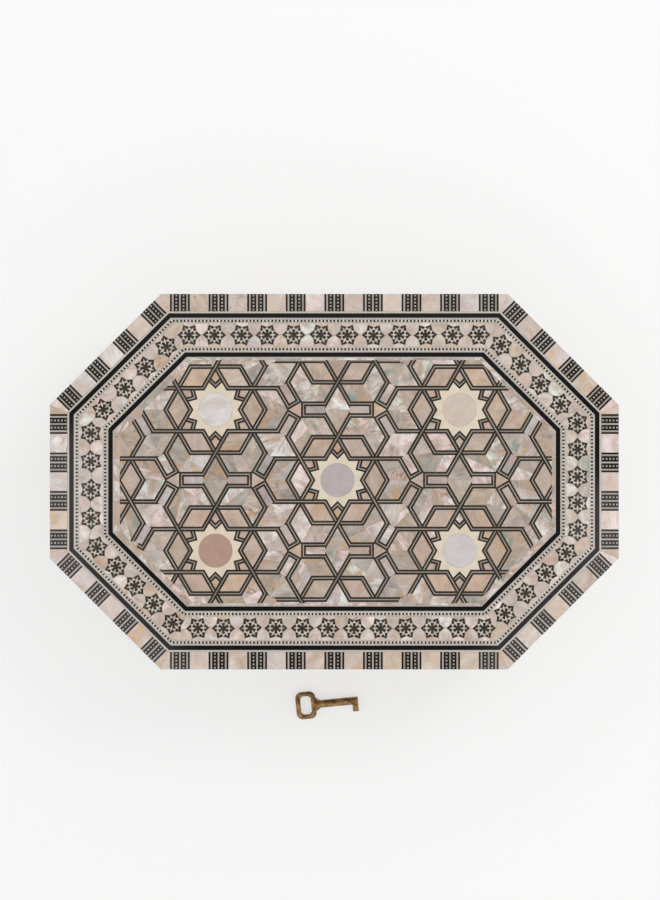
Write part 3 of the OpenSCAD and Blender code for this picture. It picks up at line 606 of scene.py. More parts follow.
def strips(pieces, field, left_out):
    """The light and dark strips of all the pieces, cut off at the field's edge. Where a piece is
    left out, one chip of pearl takes its place."""
    made = {"white": [], "black": [], "filler": []}
    for a, b, cuts in pieces:
        way = unit(b - a)
        a, b = a - way * STRAP * 2, b + way * STRAP * 2
        for kind, spans in (("filler", [(-EDGE, EDGE)]), *LINES.items()):
            for below, above in spans:
                cell = trimmed([a + 1j * way * below, b + 1j * way * below,
                                b + 1j * way * above, a + 1j * way * above], cuts + field)
                if kind == "filler" and cell:
                    middle = sum(cell) / len(cell)
                    missing = area(cell) < LEAST_STRAP or any(
                        abs(middle - at) < LEFT_OUT_REACH for at in left_out)
                if cell and missing == (kind == "filler"):
                    made[kind].append(cell)
    return made


print("a path with one turn has", len(list(segments([0, 1, 1 + 1j]))), "pieces")


# %% The straps of one star
def star_straps(star, clockwise_over, whole):
    """Paths of one star. clockwise_over says, for each of its six crossings, which leg is on top.
    Only a whole star has chevrons in its corners."""
    turn = 2 * S + 1j * ROOT3 * S
    tail = turn + polar(TAIL, 120)
    half = [S, turn, tail, tail + polar(ARM_HALF, 30)]
    for k, spin in enumerate(SIXTHS):
        under = {}
        if clockwise_over[k]:
            under[3] = [(star + polar(ROOT3 * S, 60 * k + 30), spin)]
        if not clockwise_over[k - 1]:
            under[2] = [(star + polar(ROOT3 * S, 60 * k - 30), spin)]
        yield from segments(moved(mirrored(half[1:]) + half, spin, star), under)
        if not whole:
            continue
        tip = star + polar(CHEVRON + STRAP / math.sqrt(2), 60 * k + 30)
        legs = [beside(star + polar(S, corner), polar(1, way), star, EDGE)
                for corner, way in ((60 * k, 60 * k + 60), (60 * k + 60, 60 * k))]
        for a, b, cuts in segments([tip + polar(3 * STRAP, 60 * k + 75), tip,
                                    tip + polar(3 * STRAP, 60 * k - 15)]):
            yield a, b, cuts + legs
    under = {k: [(star + polar(ROOT3 * S, 60 * k + 30), polar(1, 60 * k + turn_by))
                 for turn_by in (60, 0)] for k in range(6)}
    yield from segments([star + polar(2 * S, 60 * k) for k in range(6)], under, closed=True)


print("a whole star has", len(list(star_straps(0j, [True] * 6, True))), "pieces of strap")


# %% Cells between the straps
def cells_of(stars, whole, e):
    """Every cell by kind, each at the distance e from the straps' middle lines. A star that isn't
    whole is all pearl."""
    lozenge = inset([S, 1.5 * S - 0.5j * ROOT3 * S, 2 * S, 1.5 * S + 0.5j * ROOT3 * S], e)
    half_cell = inset([2 * S, 3 * S, 2.5 * S + 0.5j * ROOT3 * S, 1.5 * S + 0.5j * ROOT3 * S],
                      [SEAM, e, e, e])
    half_heart = inset([S / 2, S / 2 + 1j * ARM_HALF, 1j * HEART, -S / 2 + 1j * ARM_HALF, -S / 2],
                       [SEAM, e, e, SEAM, SEAM])
    arm = inset([S / 2 - 1j * ARM_HALF, ARM_END - 1j * ARM_HALF, ARM_END + 1j * ARM_HALF,
                 S / 2 + 1j * ARM_HALF], [e, e, e, SEAM])
    reach = PITCH / 2 / ROOT3 - ARM_END - e
    joint = [polar(-2 * reach, 120 * i) for i in range(3)] if e > GLUE else [
        polar(1, 120 * i) * p for i in range(3)
        for p in (complex(reach, -ARM_HALF), complex(reach, ARM_HALF), polar(HEART_TIP, 60))]
    chevron = CHEVRON + 2 * GLUE + (STRAP * math.sqrt(2) if e > GLUE else 0)
    corner = star_outline(chevron, e)
    kite = [corner[2], corner[1], polar(ROOT3 * S - 2 * e, 30), corner[3]]

    made = {kind: [] for kind in ("lozenge", "hexagon", "kite", "heart", "arm", "joint", "star")}
    figures, joints = [], []
    for star in stars:
        if star in whole:
            made["star"] += star_rays(star, e)
            made["kite"] += [moved(kite, spin, star) for spin in SIXTHS]
        else:
            made["heart"].append([star + spin * p for spin in SIXTHS
                                  for p in (corner[0], kite[2])])
        for k, spin in enumerate(SIXTHS):
            made["lozenge"].append(moved(lozenge, spin, star))
            made["hexagon"] += [moved(half, spin, star)
                                for half in (half_cell, mirrored(half_cell))]
            for found, centre, turn in ((figures, polar(PITCH / 2, 60 * k + 30), 60 * k - 60),
                                        (joints, polar(PITCH / ROOT3, 60 * k), 60 * k)):
                if all(abs(star + centre - known) > MM for known, _ in found):
                    found.append((star + centre, turn))
    for centre, turn in figures:
        for spin in (polar(1, turn), polar(-1, turn)):
            made["heart"].append(moved(half_heart, spin, centre))
            made["arm"].append(moved(arm, spin, centre))
    made["joint"] = [moved(joint, polar(1, turn), centre) for centre, turn in joints]
    return made


def star_outline(tip, e):
    """The toothed outline in a star's first sixth: strap corner, tooth, chevron, tooth."""
    inner = S - e / math.sin(math.radians(60))
    p = polar(tip, 30)
    far = ((inner - p.real) * math.sin(math.radians(60)) + p.imag * math.cos(math.radians(60)))
    tooth = p + polar(far / math.sin(math.radians(75)), -15)
    return [inner + 0j, tooth, p, tooth.conjugate() * polar(1, 60)]


def star_rays(star, e):
    """The bone star as 24 wedges between its toothed outline and the disc."""
    outline = [spin * p for spin in SIXTHS for p in star_outline(CHEVRON, e)]
    rays = []
    for p, q in edges(outline):
        turn = cmath.phase(q / p)
        arc = [unit(p) * cmath.rect(DISC + GLUE, turn * i / 4) for i in range(5)]
        rays.append(moved([p, q] + arc[::-1], 1, star))
    return rays


def fitted(cells, cuts):
    return [cell for cell in (trimmed(c, cuts) for c in cells) if cell]


print("the star's outline has", 6 * len(star_outline(CHEVRON, EDGE)), "corners")

# %% [markdown]
# ## The lid's field
#
# The field is an octagon with a star in the middle and one in each quarter. The straps stop a
# little short of its edge and the pearl runs on, so the last chips are fitted twice: between the
# straps, and without them in the narrow rim outside. At a crossing the strap on a star's clockwise
# side is on top, but for a few that the maker laid the other way.

# %% Stars of a field, and what the maker did by eye
STAR_REACH = 3.7 * S
SHIFT = complex(1.7, 0.8) * MM
OTHER_WAY = {(-1, 1): [5], (1, 1): [2, 3], (1, -1): [2]}


def stars_in(half_x, half_y, shift):
    """Centres of the stars whose figures reach into a field of that half length and width."""
    stars = []
    for i in range(-3, 4):
        for j in range(-3, 4):
            star = shift + PITCH * complex(i * ROOT3 / 2, j + i % 2 * 0.5)
            if abs(star.real) < half_x + STAR_REACH and abs(star.imag) < half_y + STAR_REACH:
                stars.append(star)
    return stars


def by_rule(star):
    return [True] * 6


def by_maker(star):
    at = (star - SHIFT) / PITCH
    place = (round(at.real * 2 / ROOT3), round(at.imag * 2))
    return [k not in OTHER_WAY.get(place, []) for k in range(6)]


def broken(cells, share):
    """The cells with a share of them made of two chips, where the shell was too small."""
    made = []
    for cell in cells:
        at, way = sum(cell) / len(cell), polar(1, rng.uniform(0, 180))
        ways = (way, -way) if rng.random() < share else ()
        made += [trimmed(cell, [(at, w)]) for w in ways] or [cell]
    return [cell for cell in made if cell]


print(len(stars_in(LENGTH / 2, WIDTH / 2, SHIFT)), "stars reach into a field of the lid's size")

# %% All parts of a field
BROKEN = {"hexagon": 0.7, "heart": 0.4}
DISC_CORNERS = 48


def pattern(corners, rims, shift, clockwise_over, left_out=()):
    """All parts of a field with these corners. Its straps end a rim's width inside it."""
    inner = inset(corners, rims)
    outer_cuts = outline_cuts(inset(corners, GLUE))
    inner_cuts = outline_cuts(inner)
    stars = stars_in(max(p.real for p in corners), max(p.imag for p in corners), shift)
    whole = [star for star in stars
             if all(((star - at) * way.conjugate()).imag > 0 for at, way in inner_cuts)]
    parts = strips([piece for star in stars
                    for piece in star_straps(star, clockwise_over(star), star in whole)],
                   inner_cuts, left_out)
    narrow, wide = cells_of(stars, whole, EDGE), cells_of(stars, whole, GLUE)
    for kind in narrow:
        parts[kind] = fitted(narrow[kind], inner_cuts)
        for k, p in enumerate(inner):
            q, outer = inner[k + 1 - len(inner)], corners[k + 1 - len(inner)]
            beyond = [(q, p - q), (p, corners[k] - p), (outer, q - outer)]
            parts[kind] += fitted(wide[kind], outer_cuts + beyond)
    parts["disc"] = [[star + polar(DISC, 360 / DISC_CORNERS * i) for i in range(DISC_CORNERS)]
                     for star in whole]
    for kind, share in BROKEN.items():
        parts[kind] = broken(parts[kind], share)
    return {kind: cells for kind, cells in parts.items() if cells}


FIELD_D = depth_of("pearl_chips")
RIMS = [rim * MM for rim in (2.8, 1.6, 1.8, 1.2, 3.2, 3.2, 3.0, 1.2)]
LEFT_OUT = [complex(x, y) * MM for x, y in (
    (-110.9, 18.5), (-31.6, -63.1), (35, -63.1), (41.3, -61.6), (-64, 63), (-102.3, 35.2),
    (-104.7, -32.3), (112.9, 15.9), (68.5, 63))]
field = pattern(plan(FIELD_D), RIMS, SHIFT, by_maker, LEFT_OUT)
print(f"field {FIELD_D / MM:.2f} mm in:", {kind: len(cells) for kind, cells in field.items()})

# %% Lay the field
FIELD_KINDS = {"lozenge": pearl_plain, "hexagon": pearl_field, "kite": pearl_plain,
               "heart": pearl_field, "arm": pearl_arm, "joint": pearl_plain,
               "filler": pearl_plain, "star": bone_star, "disc": pearl_disc,
               "white": strap_slip, "black": ebony_strap}
STANDS_FOR = {"star": "bone_stars", "disc": "star_discs", "white": "strapwork",
              "black": "strapwork"}
on_top = at_height(TOP)
for kind, cells in field.items():
    lay(f"lid_{kind}_chips", [(on_top, cells)], FIELD_KINDS[kind], "lid",
        STANDS_FOR.get(kind, "pearl_chips"), CHIP_THICK,
        CHIP_THICK if kind == "star" else LINE_THICK,
        [100 * i / 4 for i in range(5)] if kind == "disc" else None)

# %% [markdown]
# ## Bars along an outline
#
# Everything else is a frame: bars along the sides of an octagon or of a panel, mitred where they
# meet. A bar is drawn once as a function of its length, with x along it from its middle and y from
# its outer edge inwards, and one function turns it along every side and mitres its ends.

# %% Frames
WOBBLE = 0.08


def block(x0, x1, y0, y1):
    return [complex(x0, y0), complex(x1, y0), complex(x1, y1), complex(x0, y1)]


def framed(corners, depth, drawn):
    """Cells by kind of all the bars along an outline. drawn(length) gives those of one bar, given
    the length of its middle line."""
    inner = inset(corners, depth)
    made = {}
    for k, (p, q) in enumerate(edges(corners)):
        after = inner[k + 1 - len(inner)]
        middle, way = (p + q) / 2, unit(q - p)
        mitre = outline_cuts(inset([p, q, after, inner[k]], GLUE / 2))
        for kind, cells in drawn((abs(q - p) + abs(after - inner[k])) / 2).items():
            made.setdefault(kind, []).extend(
                fitted([moved(cell, way, middle) for cell in cells], mitre))
    return made


def row(length, pitch, width, tall, y):
    """Marks in a row along x and the slips between them, with its middle line at the height y."""
    count = max(1, round(length / pitch))
    marks, between, last = [], [], -length
    for i in range(count):
        x = (i + 0.5) * length / count - length / 2
        half = width / 2 * rng.uniform(1 - WOBBLE, 1 + WOBBLE)
        marks.append(block(x - half, x + half, y - tall / 2, y + tall / 2))
        between.append(block(last, x - half, y - tall / 2, y + tall / 2))
        last = x + half
    between.append(block(last, length, y - tall / 2, y + tall / 2))
    return marks, between


DOT_PITCH, DOT_WIDTH, DOT_TALL = 1.92 * MM, 0.9 * MM, 1.25 * MM


def dotted(depth):
    """A bar with a row of dots between two light lines."""
    def drawn(length):
        dark, light = row(length, DOT_PITCH, DOT_WIDTH, DOT_TALL, depth / 2)
        lines = [block(-length, length, 0, (depth - DOT_TALL) / 2 - GLUE / 2),
                 block(-length, length, (depth + DOT_TALL) / 2 + GLUE / 2, depth)]
        return {"black": dark, "white": light + lines}
    return drawn


print(f"dots are {DOT_WIDTH / MM:.1f} mm wide and {DOT_PITCH / MM:.2f} mm apart")

# %% [markdown]
# ## Rosettes
#
# A rosette is a bundle of sticks glued into a six-pointed star and sawn into slices. Six dark
# arrowheads make its points and six dark petals its heart, in a light ground that narrows to a
# needle along each point. Between two rosettes lie two pieces of pearl with pale edges, point to
# point. Each slice sits a little turned and is not quite the size of the next.

# %% One rosette
NOTCH = 0.7
TIP = 1 - polar(NOTCH, 30)
SHOULDER, HEEL, BARB, CROTCH = 0.975, 0.55 + 0.225j, 0.53 + 0.07j, 0.79
PETAL_START, PETAL_END, PETAL_HALF = 0.19, 0.475, 0.152


def rosette(radius):
    """Dark cells and light cells of a rosette of that radius, around the origin."""
    shoulder = 1 - SHOULDER * TIP
    corner = polar(1, 30) * complex(PETAL_END, -PETAL_HALF)
    upper = [BARB, HEEL, shoulder, polar(NOTCH, 30), polar(PETAL_END, 30), corner]
    arrow = [1, shoulder, HEEL, BARB, CROTCH] + mirrored([shoulder, HEEL, BARB])
    petal = [0, PETAL_START, corner, corner.conjugate() * polar(1, 60), polar(PETAL_START, 60)]
    light = [CROTCH] + upper + [PETAL_START] + mirrored(upper)
    return ([moved(cell, radius * spin) for spin in SIXTHS for cell in (arrow, petal)],
            [moved(light, radius * spin) for spin in SIXTHS])


print("one rosette has", [len(cells) for cells in rosette(1)], "dark and light cells")

# %% Rosettes in a row, and the pearl between them
PALE_EDGE = 0.28 * MM
SLICE_TURN = 2


def parted(cell):
    """The cell without corners that lie on top of each other."""
    return [p for i, p in enumerate(cell) if abs(p - cell[i - 1]) > 2 * GLUE]


def rosette_row(marks, radius, outer, inner):
    """Cells of a row. Each mark is a rosette's middle and the way it points; outer and inner give
    the points along the row's two edges from beside one point to beside another."""
    made = {"mark": [], "white": [], "edge": [], "ground": []}
    flanks = ((1, inner), (-1, outer))

    def at(mark, angle):
        share = NOTCH if angle % 60 else 1
        return mark[0] + mark[1] * polar(share * (radius + GLUE), angle)

    for mark in marks:
        for kind, cells in zip(("mark", "white"), rosette(radius)):
            made[kind] += [moved(cell, mark[1], mark[0]) for cell in cells]
        for sign, edge in flanks:
            beside_it = [at(mark, sign * angle) for angle in (120, 90, 60)]
            made["ground"].append(parted(
                edge(beside_it[0], beside_it[2])[::-sign] + beside_it[::sign]))
    for a, b in edges(marks):
        if (b[0] - a[0]) * a[1].conjugate() == 0 or ((b[0] - a[0]) / a[1]).real < 0:
            continue
        for sign, edge in flanks:
            here = [at(a, angle) for angle in (0, 30 * sign, 60 * sign)]
            there = [at(b, angle) for angle in (180, 150 * sign, 120 * sign)]
            piece = parted((here + edge(here[2], there[2]) + there[::-1])[::-sign])
            piece = inset(piece, GLUE)
            centre = inset(piece, PALE_EDGE)
            made["ground"].append(inset(centre, GLUE / 2))
            made["edge"] += [[piece[e - 1], piece[e], centre[e], centre[e - 1]]
                             for e in range(len(piece))]
    return made


def along(d):
    """The way along the octagon at the distance d, from beside one point to beside another."""
    corners = plan(d)

    def foot(p):
        feet = []
        for k, (start, end) in enumerate(edges(corners)):
            reach = abs(end - start)
            from_start = (p - start) * ((end - start) / reach).conjugate()
            run = min(max(from_start.real, 0), reach)
            feet.append((from_start.imag, k, start + (end - start) * run / reach))
        return min(feet)[1:]

    def between(p, q):
        (k, start), (m, end) = foot(p), foot(q)
        return [start, end] if k == m else [start, corners[m], end]
    return between


print(f"the pearl between rosettes has pale edges of {PALE_EDGE / MM:.2f} mm")

# %% [markdown]
# ## The border's blocks
#
# Along the lid's edge stand small blocks with pearl between them. A block is a sandwich: black,
# white, a ladder, white, a ladder, white, black. A ladder is a black strip with five white squares
# down its middle, like a slice of a chequered stick.

# %% One block, and a bar of them
BLOCK = [("black", 0.95), ("light", 0.9), ("ladder", 2.9), ("light", 0.9), ("ladder", 2.9),
         ("light", 0.9), ("black", 0.95)]
BLOCK_WIDTH = sum(width for kind, width in BLOCK) * MM
FIRST_BLOCK = 10.1 * MM
LONG_COUNT, SHORT_COUNT = 9, 4
SQUARE, SQUARE_PITCH = 0.9 * MM, 1.84 * MM


def bordered(depth):
    """A bar of blocks and the pearl between them."""
    mitre = depth * math.tan(math.radians(22.5))

    def drawn(length):
        side = length + mitre
        count = LONG_COUNT if side > LENGTH / 2 else SHORT_COUNT
        made = {"black": [], "light": [], "shell": []}
        last = -side
        for i in range(count):
            x = (i / (count - 1) - 0.5) * (side - 2 * FIRST_BLOCK) - BLOCK_WIDTH / 2
            made["shell"].append(block(last, x - GLUE, 0, depth))
            for kind, width in BLOCK:
                width *= MM
                if kind == "ladder":
                    rail = (width - SQUARE) / 2
                    made["black"] += [block(x + GLUE / 2, x + rail, 0, depth),
                                      block(x + rail + SQUARE, x + width - GLUE / 2, 0, depth)]
                    squares, between = row(depth, SQUARE_PITCH, SQUARE, SQUARE, 0)
                    for colour, cells in (("light", squares), ("black", between)):
                        cells = fitted(cells, [(-depth / 2 + 0j, -1j), (depth / 2 + 0j, 1j)])
                        made[colour] += [[x + width / 2 + 1j * (depth / 2 + p) for p in cell]
                                         for cell in cells]
                else:
                    made[kind].append(block(x + GLUE / 2, x + width - GLUE / 2, 0, depth))
                x += width
            last = x + GLUE
        made["shell"].append(block(last, side, 0, depth))
        return made
    return drawn


print(f"a block is {BLOCK_WIDTH / MM:.1f} mm wide")

# %% Lay the frames of the lid
BORDER, OUTER_DOTS = depth_of("bone_lines"), depth_of("dotted_bands")
ROSETTE_OUT = depth_of("rosette_ground")
DOT_BAND = ROSETTE_OUT - OUTER_DOTS
ROSETTE_BAND = 12.8 * MM
ROSETTE = 6.1 * MM
STRAY_ALONG, STRAY_ACROSS = 0.3, 0.15
ROSETTE_ROWS = [(4, 15.1, 1.2), (5, 14.1, 2.6), (4, 14.8, 2.9), (12, 13.9, 0.4), (4, 15.6, -0.5),
                (4, 15.0, -3.3), (5, 14.1, 0.5), (12, 13.75, 3.6)]


def rosette_marks():
    """Middles and ways of the lid's rosettes. A side's row has its own number and pitch, and lies
    a little to one side, as the maker spaced it by eye."""
    marks = []
    for k, (count, pitch, shift) in enumerate(ROSETTE_ROWS):
        middle, way = side_frame(k, ROSETTE_OUT + ROSETTE_BAND / 2)
        for i in range(count):
            stray = rng.uniform(-STRAY_ALONG, STRAY_ALONG)
            x = ((i - (count - 1) / 2) * pitch + shift + stray) * MM
            y = rng.uniform(-STRAY_ACROSS, STRAY_ACROSS) * MM
            marks.append((middle + way * complex(x, y), way * polar(1, rng.gauss(0, SLICE_TURN))))
    return marks


rings = {"border": framed(plan(0), BORDER, bordered(BORDER)),
         "outer_dots": framed(plan(OUTER_DOTS), DOT_BAND, dotted(DOT_BAND)),
         "rosette": rosette_row(rosette_marks(), ROSETTE, along(ROSETTE_OUT),
                                along(ROSETTE_OUT + ROSETTE_BAND)),
         "inner_dots": framed(plan(ROSETTE_OUT + ROSETTE_BAND), DOT_BAND, dotted(DOT_BAND))}
RING_NODES = {"border": {"black": "border_ebony", "light": "border_bone", "shell": "border_pearl"},
              "rosette": {"mark": "rosettes", "white": "rosettes", "edge": "rosette_ground",
                          "ground": "rosette_ground"}}
FRAME_KINDS = {"black": ebony_slip, "white": bone_slip, "edge": bone_slip, "light": grey_slip,
               "mark": ebony_mark, "ground": pearl_pale, "shell": pearl_border}
for name, ring in rings.items():
    for kind, cells in ring.items():
        node = RING_NODES.get(name, {}).get(kind, "dotted_bands")
        lay(f"{name}_{kind}", [(on_top, cells)], FRAME_KINDS[kind], "lid", node, CHIP_THICK)

# %% [markdown]
# ## The sides
#
# The base's sides carry the same star pattern, a little smaller and lying on its side, in a dotted
# frame; the lid's rims carry a row of rosettes. Round the keyhole the chips are cut back, as they
# are when the lock is let in.

# %% Panels and their places
SIDE_THICK = 1.2 * MM
MARGIN = 4 * MM
BANDING = 4 * MM
SIDE_SCALE = 61 / (PITCH / MM)
BASE_LOW, BASE_HIGH = (corner.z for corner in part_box("base_side_banding"))
LID_LOW, LID_HIGH = (corner.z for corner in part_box("lid_side_banding"))
KEYHOLE = (2.6 * MM, 46.4 * MM, 55.8 * MM)


def banded(length):
    """A bar of the panels' frame: a black line, a row of dots between light lines, a black line."""
    line, space = 0.75 * MM, 0.55 * MM
    dark, light = row(length, DOT_PITCH, DOT_WIDTH, BANDING - 2 * (line + space), BANDING / 2)
    spans = [(0, line), (line, line + space)]
    spans += [(BANDING - high, BANDING - low) for low, high in spans]
    bars = [block(-length, length, low + GLUE / 2, high - GLUE / 2) for low, high in spans]
    return {"black": dark + bars[::2], "white": light + bars[1::2]}


def framed_panel(k, half_height):
    """The outline of side k's panel, and its frame's cells by kind."""
    half = side_length(k) / 2 - MARGIN - GLUE
    outline = block(-half, half, -half_height, half_height)
    return outline, {f"frame_{kind}": cells
                     for kind, cells in framed(outline, BANDING, banded).items()}


def past_keyhole(cells, middle):
    """The cells with the keyhole cut out. Their drawing's origin is at the height middle."""
    x, low, high = KEYHOLE[0], KEYHOLE[1] - middle, KEYHOLE[2] - middle
    between = [(x + 0j, 1j), (-x + 0j, -1j)]
    rests = [[(-x + 0j, 1j)], [(x + 0j, -1j)], between + [(1j * low, -1 + 0j)],
             between + [(1j * high, 1 + 0j)]]
    made = []
    for cell in cells:
        across, up = [p.real for p in cell], [p.imag for p in cell]
        beside_it = min(across) > x or max(across) < -x or min(up) > high or max(up) < low
        made += [cell] if beside_it else [c for cuts in rests for c in fitted([cell], cuts)]
    return made


RIM_ROSETTE, RIM_SPACE = 5.2 * MM, 0.75 * MM


def rim_row(half_length, half_depth):
    """Rosettes along the middle of a rim's panel, and the pearl between and beyond them."""
    count = int(half_length / (RIM_ROSETTE + RIM_SPACE))
    marks = [(complex((2 * i + 1 - count) / count * half_length, 0),
              polar(1, rng.gauss(0, SLICE_TURN))) for i in range(-1, count + 1)]

    def level(y):
        return lambda p, q: [complex(p.real, y), complex(q.real, y)]
    return rosette_row(marks, RIM_ROSETTE, level(-half_depth), level(half_depth))


print(f"panels {(BASE_HIGH - BASE_LOW) / MM:.1f} and {(LID_HIGH - LID_LOW) / MM:.1f} mm high")

# %% Draw and lay all sixteen panels
base_middle, rim_middle = (BASE_LOW + BASE_HIGH) / 2, (LID_LOW + LID_HIGH) / 2
base_half, rim_half = (BASE_HIGH - BASE_LOW) / 2, (LID_HIGH - LID_LOW) / 2
base_parts, rim_parts = {}, {}
for k in SIDES:
    outline, drawing = framed_panel(k, base_half)
    inner = [p * -1j / SIDE_SCALE for p in inset(outline, BANDING)]
    for kind, cells in pattern(inner, STRAP_END, 0j, by_rule).items():
        drawing[kind] = [[p * 1j * SIDE_SCALE for p in cell] for cell in cells]
    for kind, cells in drawing.items():
        cells = past_keyhole(cells, base_middle) if k == FRONT else cells
        base_parts.setdefault(kind, []).append((on_side(k, base_middle), cells))

    outline, drawing = framed_panel(k, rim_half)
    inner = inset(outline, BANDING + GLUE)
    for kind, cells in rim_row(inner[2].real, inner[2].imag).items():
        drawing[kind] = fitted(cells, outline_cuts(inner))
    for kind, cells in drawing.items():
        rim_parts.setdefault(kind, []).append((on_side(k, rim_middle), cells))

base_nodes = {"frame_black": "base_side_banding", "frame_white": "base_side_banding",
              "white": "base_side_straps", "black": "base_side_straps",
              "star": "base_side_stars", "disc": "base_side_discs"}
rim_nodes = {"frame_black": "lid_side_banding", "frame_white": "lid_side_banding",
             "edge": "lid_side_pearl", "ground": "lid_side_pearl"}
for body, prefix, parts, kinds, nodes, other in (
        ("base", "base", base_parts, FIELD_KINDS, base_nodes, "base_side_pearl"),
        ("lid", "rim", rim_parts, FRAME_KINDS, rim_nodes, "lid_side_rosettes")):
    for kind, groups in parts.items():
        framing = kind.startswith("frame_")
        material = FRAME_KINDS[kind.removeprefix("frame_")] if framing else kinds[kind]
        lay(f"{prefix}_{kind}", groups, material, body, nodes.get(kind, other), SIDE_THICK)

# %% [markdown]
# ## Wood, metal and cloth
#
# The rest of the finishes read Object coordinates, in millimetres. Walnut's figure is noise drawn
# out along the grain, so each board needs the way it runs. Metal gets its life from uneven polish.
# Velvet and felt are matt, with a pile that catches light at the edges.

# %% Timber
def timber(name, dark, light, angle, rough, coat):
    material, start = new_material(name, Roughness=rough, Coat_Weight=coat, Coat_Roughness=0.12,
                                   Specular_IOR_Level=0.3)
    where = start.node("VectorRotate", {"rotation_type": "Z_AXIS"},
                       {"Vector": own_coordinates(start), "Angle": math.radians(-angle)})
    figure = where.stretched(0.012, 0.16, 0.16).noise(1, 4, 0.6, 0.8)
    fibre = where.stretched(0.08, 2.2, 2.2).noise(1, 3)
    pores = where.stretched(0.16, 4, 4).noise(1, 2).step(0.6, 0.7)
    colour = figure.step(0.3, 0.7).mix(tone(*dark), tone(*light))
    return worked(material, fibre - pores * 0.5, 0.00005, 0.6,
                  Base_Color=colour.scaled(1 + (fibre - 0.5) * 0.5 - pores * 0.35))


WALNUT = ((58, 36, 24), (96, 62, 40))
walnut = {angle: timber(f"walnut_{angle}", *WALNUT, angle, 0.4, 0.3) for angle in (0, 45, 90, 135)}
plain_wood = timber("plain_wood", (170, 138, 98), (196, 166, 124), 0, 0.6, 0)


# %% Metal
def metal(name, dark, light, rough, cloudiness=0.12):
    material, start = new_material(name, Metallic=1.0)
    where = own_coordinates(start)
    stain = where.noise(0.25, 5, 0.6, 0.5)
    rubs = where.stretched(0.5, 6, 6).noise(1, 3)
    return worked(material, rubs, 0.00003, 0.5,
                  Base_Color=stain.step(0.3, 0.7).mix(tone(*dark), tone(*light)),
                  Roughness=rough + (stain - 0.5) * cloudiness + (rubs - 0.5) * 0.1)


brass = metal("brass", (168, 128, 66), (206, 168, 98), 0.3)
aged_brass = metal("aged_brass", (106, 80, 50), (184, 148, 102), 0.22, 0.2)
steel = metal("steel", (120, 120, 122), (168, 168, 172), 0.3)


# %% Cloth
def pile(name, dark, light, scale, sheen, sheen_tint):
    material, start = new_material(name, Roughness=0.95, Sheen_Weight=sheen, Sheen_Roughness=0.4,
                                   Sheen_Tint=tone(*sheen_tint))
    where = own_coordinates(start)
    brushed, fibres = where.noise(0.06, 3, 0.5, 1), where.noise(scale, 3, 0.7)
    mixed = (brushed * 0.4 + fibres * 0.6).step(0.3, 0.7)
    return worked(material, fibres, 0.0002, 0.7, Base_Color=mixed.mix(tone(*dark), tone(*light)))


velvet = pile("velvet", (84, 10, 22), (124, 20, 36), 3, 0.5, (220, 120, 120))
felt = pile("felt", (26, 58, 38), (40, 76, 50), 1.5, 0.15, (150, 180, 150))

# %% Give the packed parts their finishes
RUNS = {"front": 0, "back": 0, "left": 90, "right": 90, "corner_back_right": 135,
        "corner_front_left": 135, "corner_front_right": 45, "corner_back_left": 45}
BY_SLOT = {"plain_wood": plain_wood, "brass": brass, "aged_brass": aged_brass, "steel": steel,
           "velvet": velvet, "felt": felt, "bone": bone_ring, "ebony": ebony_ring,
           "pearl": pearl_plain, "walnut": walnut[0]}
for node, shape in NODES.items():
    material = BY_SLOT[SLOT[node]]
    if SLOT[node] == "walnut":
        run = next(angle for end, angle in RUNS.items()
                   if node.replace("_wall", "").replace("_rail", "").replace("lid_", "") == end)
        material = walnut[run]
    painted(shape, material)
print(len(NODES), "nodes finished")

# %% [markdown]
# ## Filed edges
#
# Cast and cut metal never has knife edges: files and fingers round them, and the thin bright line
# on an edge is what makes brass look like brass. The packed parts are sharp, so a merged copy of
# each visible fitting gets a small bevel and stands in for it.

# %% Soften the fittings
SHARP = math.radians(35)
BOW_ROUND = 0.95 * MM
BOW_MIDDLE = complex(-16 * MM, -WIDTH / 2 - 30.3 * MM)
BOW_HALF, KEY_TURN = 5.2 * MM, 5.5


def in_bow(p):
    return ((p - BOW_MIDDLE) / polar(1, KEY_TURN)).real < BOW_HALF


def smoothed(piece, degrees):
    piece.select_set(True)
    bpy.ops.object.shade_smooth_by_angle(angle=math.radians(degrees))
    piece.select_set(False)
    print(piece.name, len(piece.data.polygons), "faces")


def softened(node, width, material, segments=2, has_bow=False):
    """A fitting with its edges filed by this width, and with its bow rounded where it has one."""
    piece = new_piece(node + "_filed", NODES[node].data.copy())
    bpy.ops.object.mode_set(mode="EDIT")
    bpy.ops.mesh.select_all(action="SELECT")
    bpy.ops.mesh.remove_doubles(threshold=0.01 * MM)
    bpy.ops.mesh.dissolve_limited(angle_limit=math.radians(1))
    if has_bow:
        bpy.ops.mesh.select_mode(type="EDGE")
        bpy.ops.mesh.select_all(action="DESELECT")
        bpy.ops.mesh.edges_select_sharp(sharpness=SHARP)
        bpy.ops.object.mode_set(mode="OBJECT")
        for edge in piece.data.edges:
            ends = [piece.data.vertices[v].co for v in edge.vertices]
            edge.select = edge.select and all(in_bow(complex(p.x, p.y)) for p in ends)
        bpy.ops.object.mode_set(mode="EDIT")
        bpy.ops.mesh.bevel(offset=BOW_ROUND, segments=4, affect="EDGES", clamp_overlap=True)
    bpy.ops.object.mode_set(mode="OBJECT")
    apply_modifier(piece, "BEVEL", width=width, segments=segments, limit_method="ANGLE",
                   angle_limit=SHARP)
    smoothed(piece, 40)
    finish_piece(piece, BODY[node], SLOT[node], node, material)


for node, width in (("escutcheon", 0.15), ("hinge_leaf_base", 0.12), ("hinge_leaf_lid", 0.12),
                    ("lock_case", 0.15), ("strike_plate", 0.15)):
    softened(node, width * MM, brass)
softened("key", 0.45 * MM, aged_brass, 3, has_bow=True)

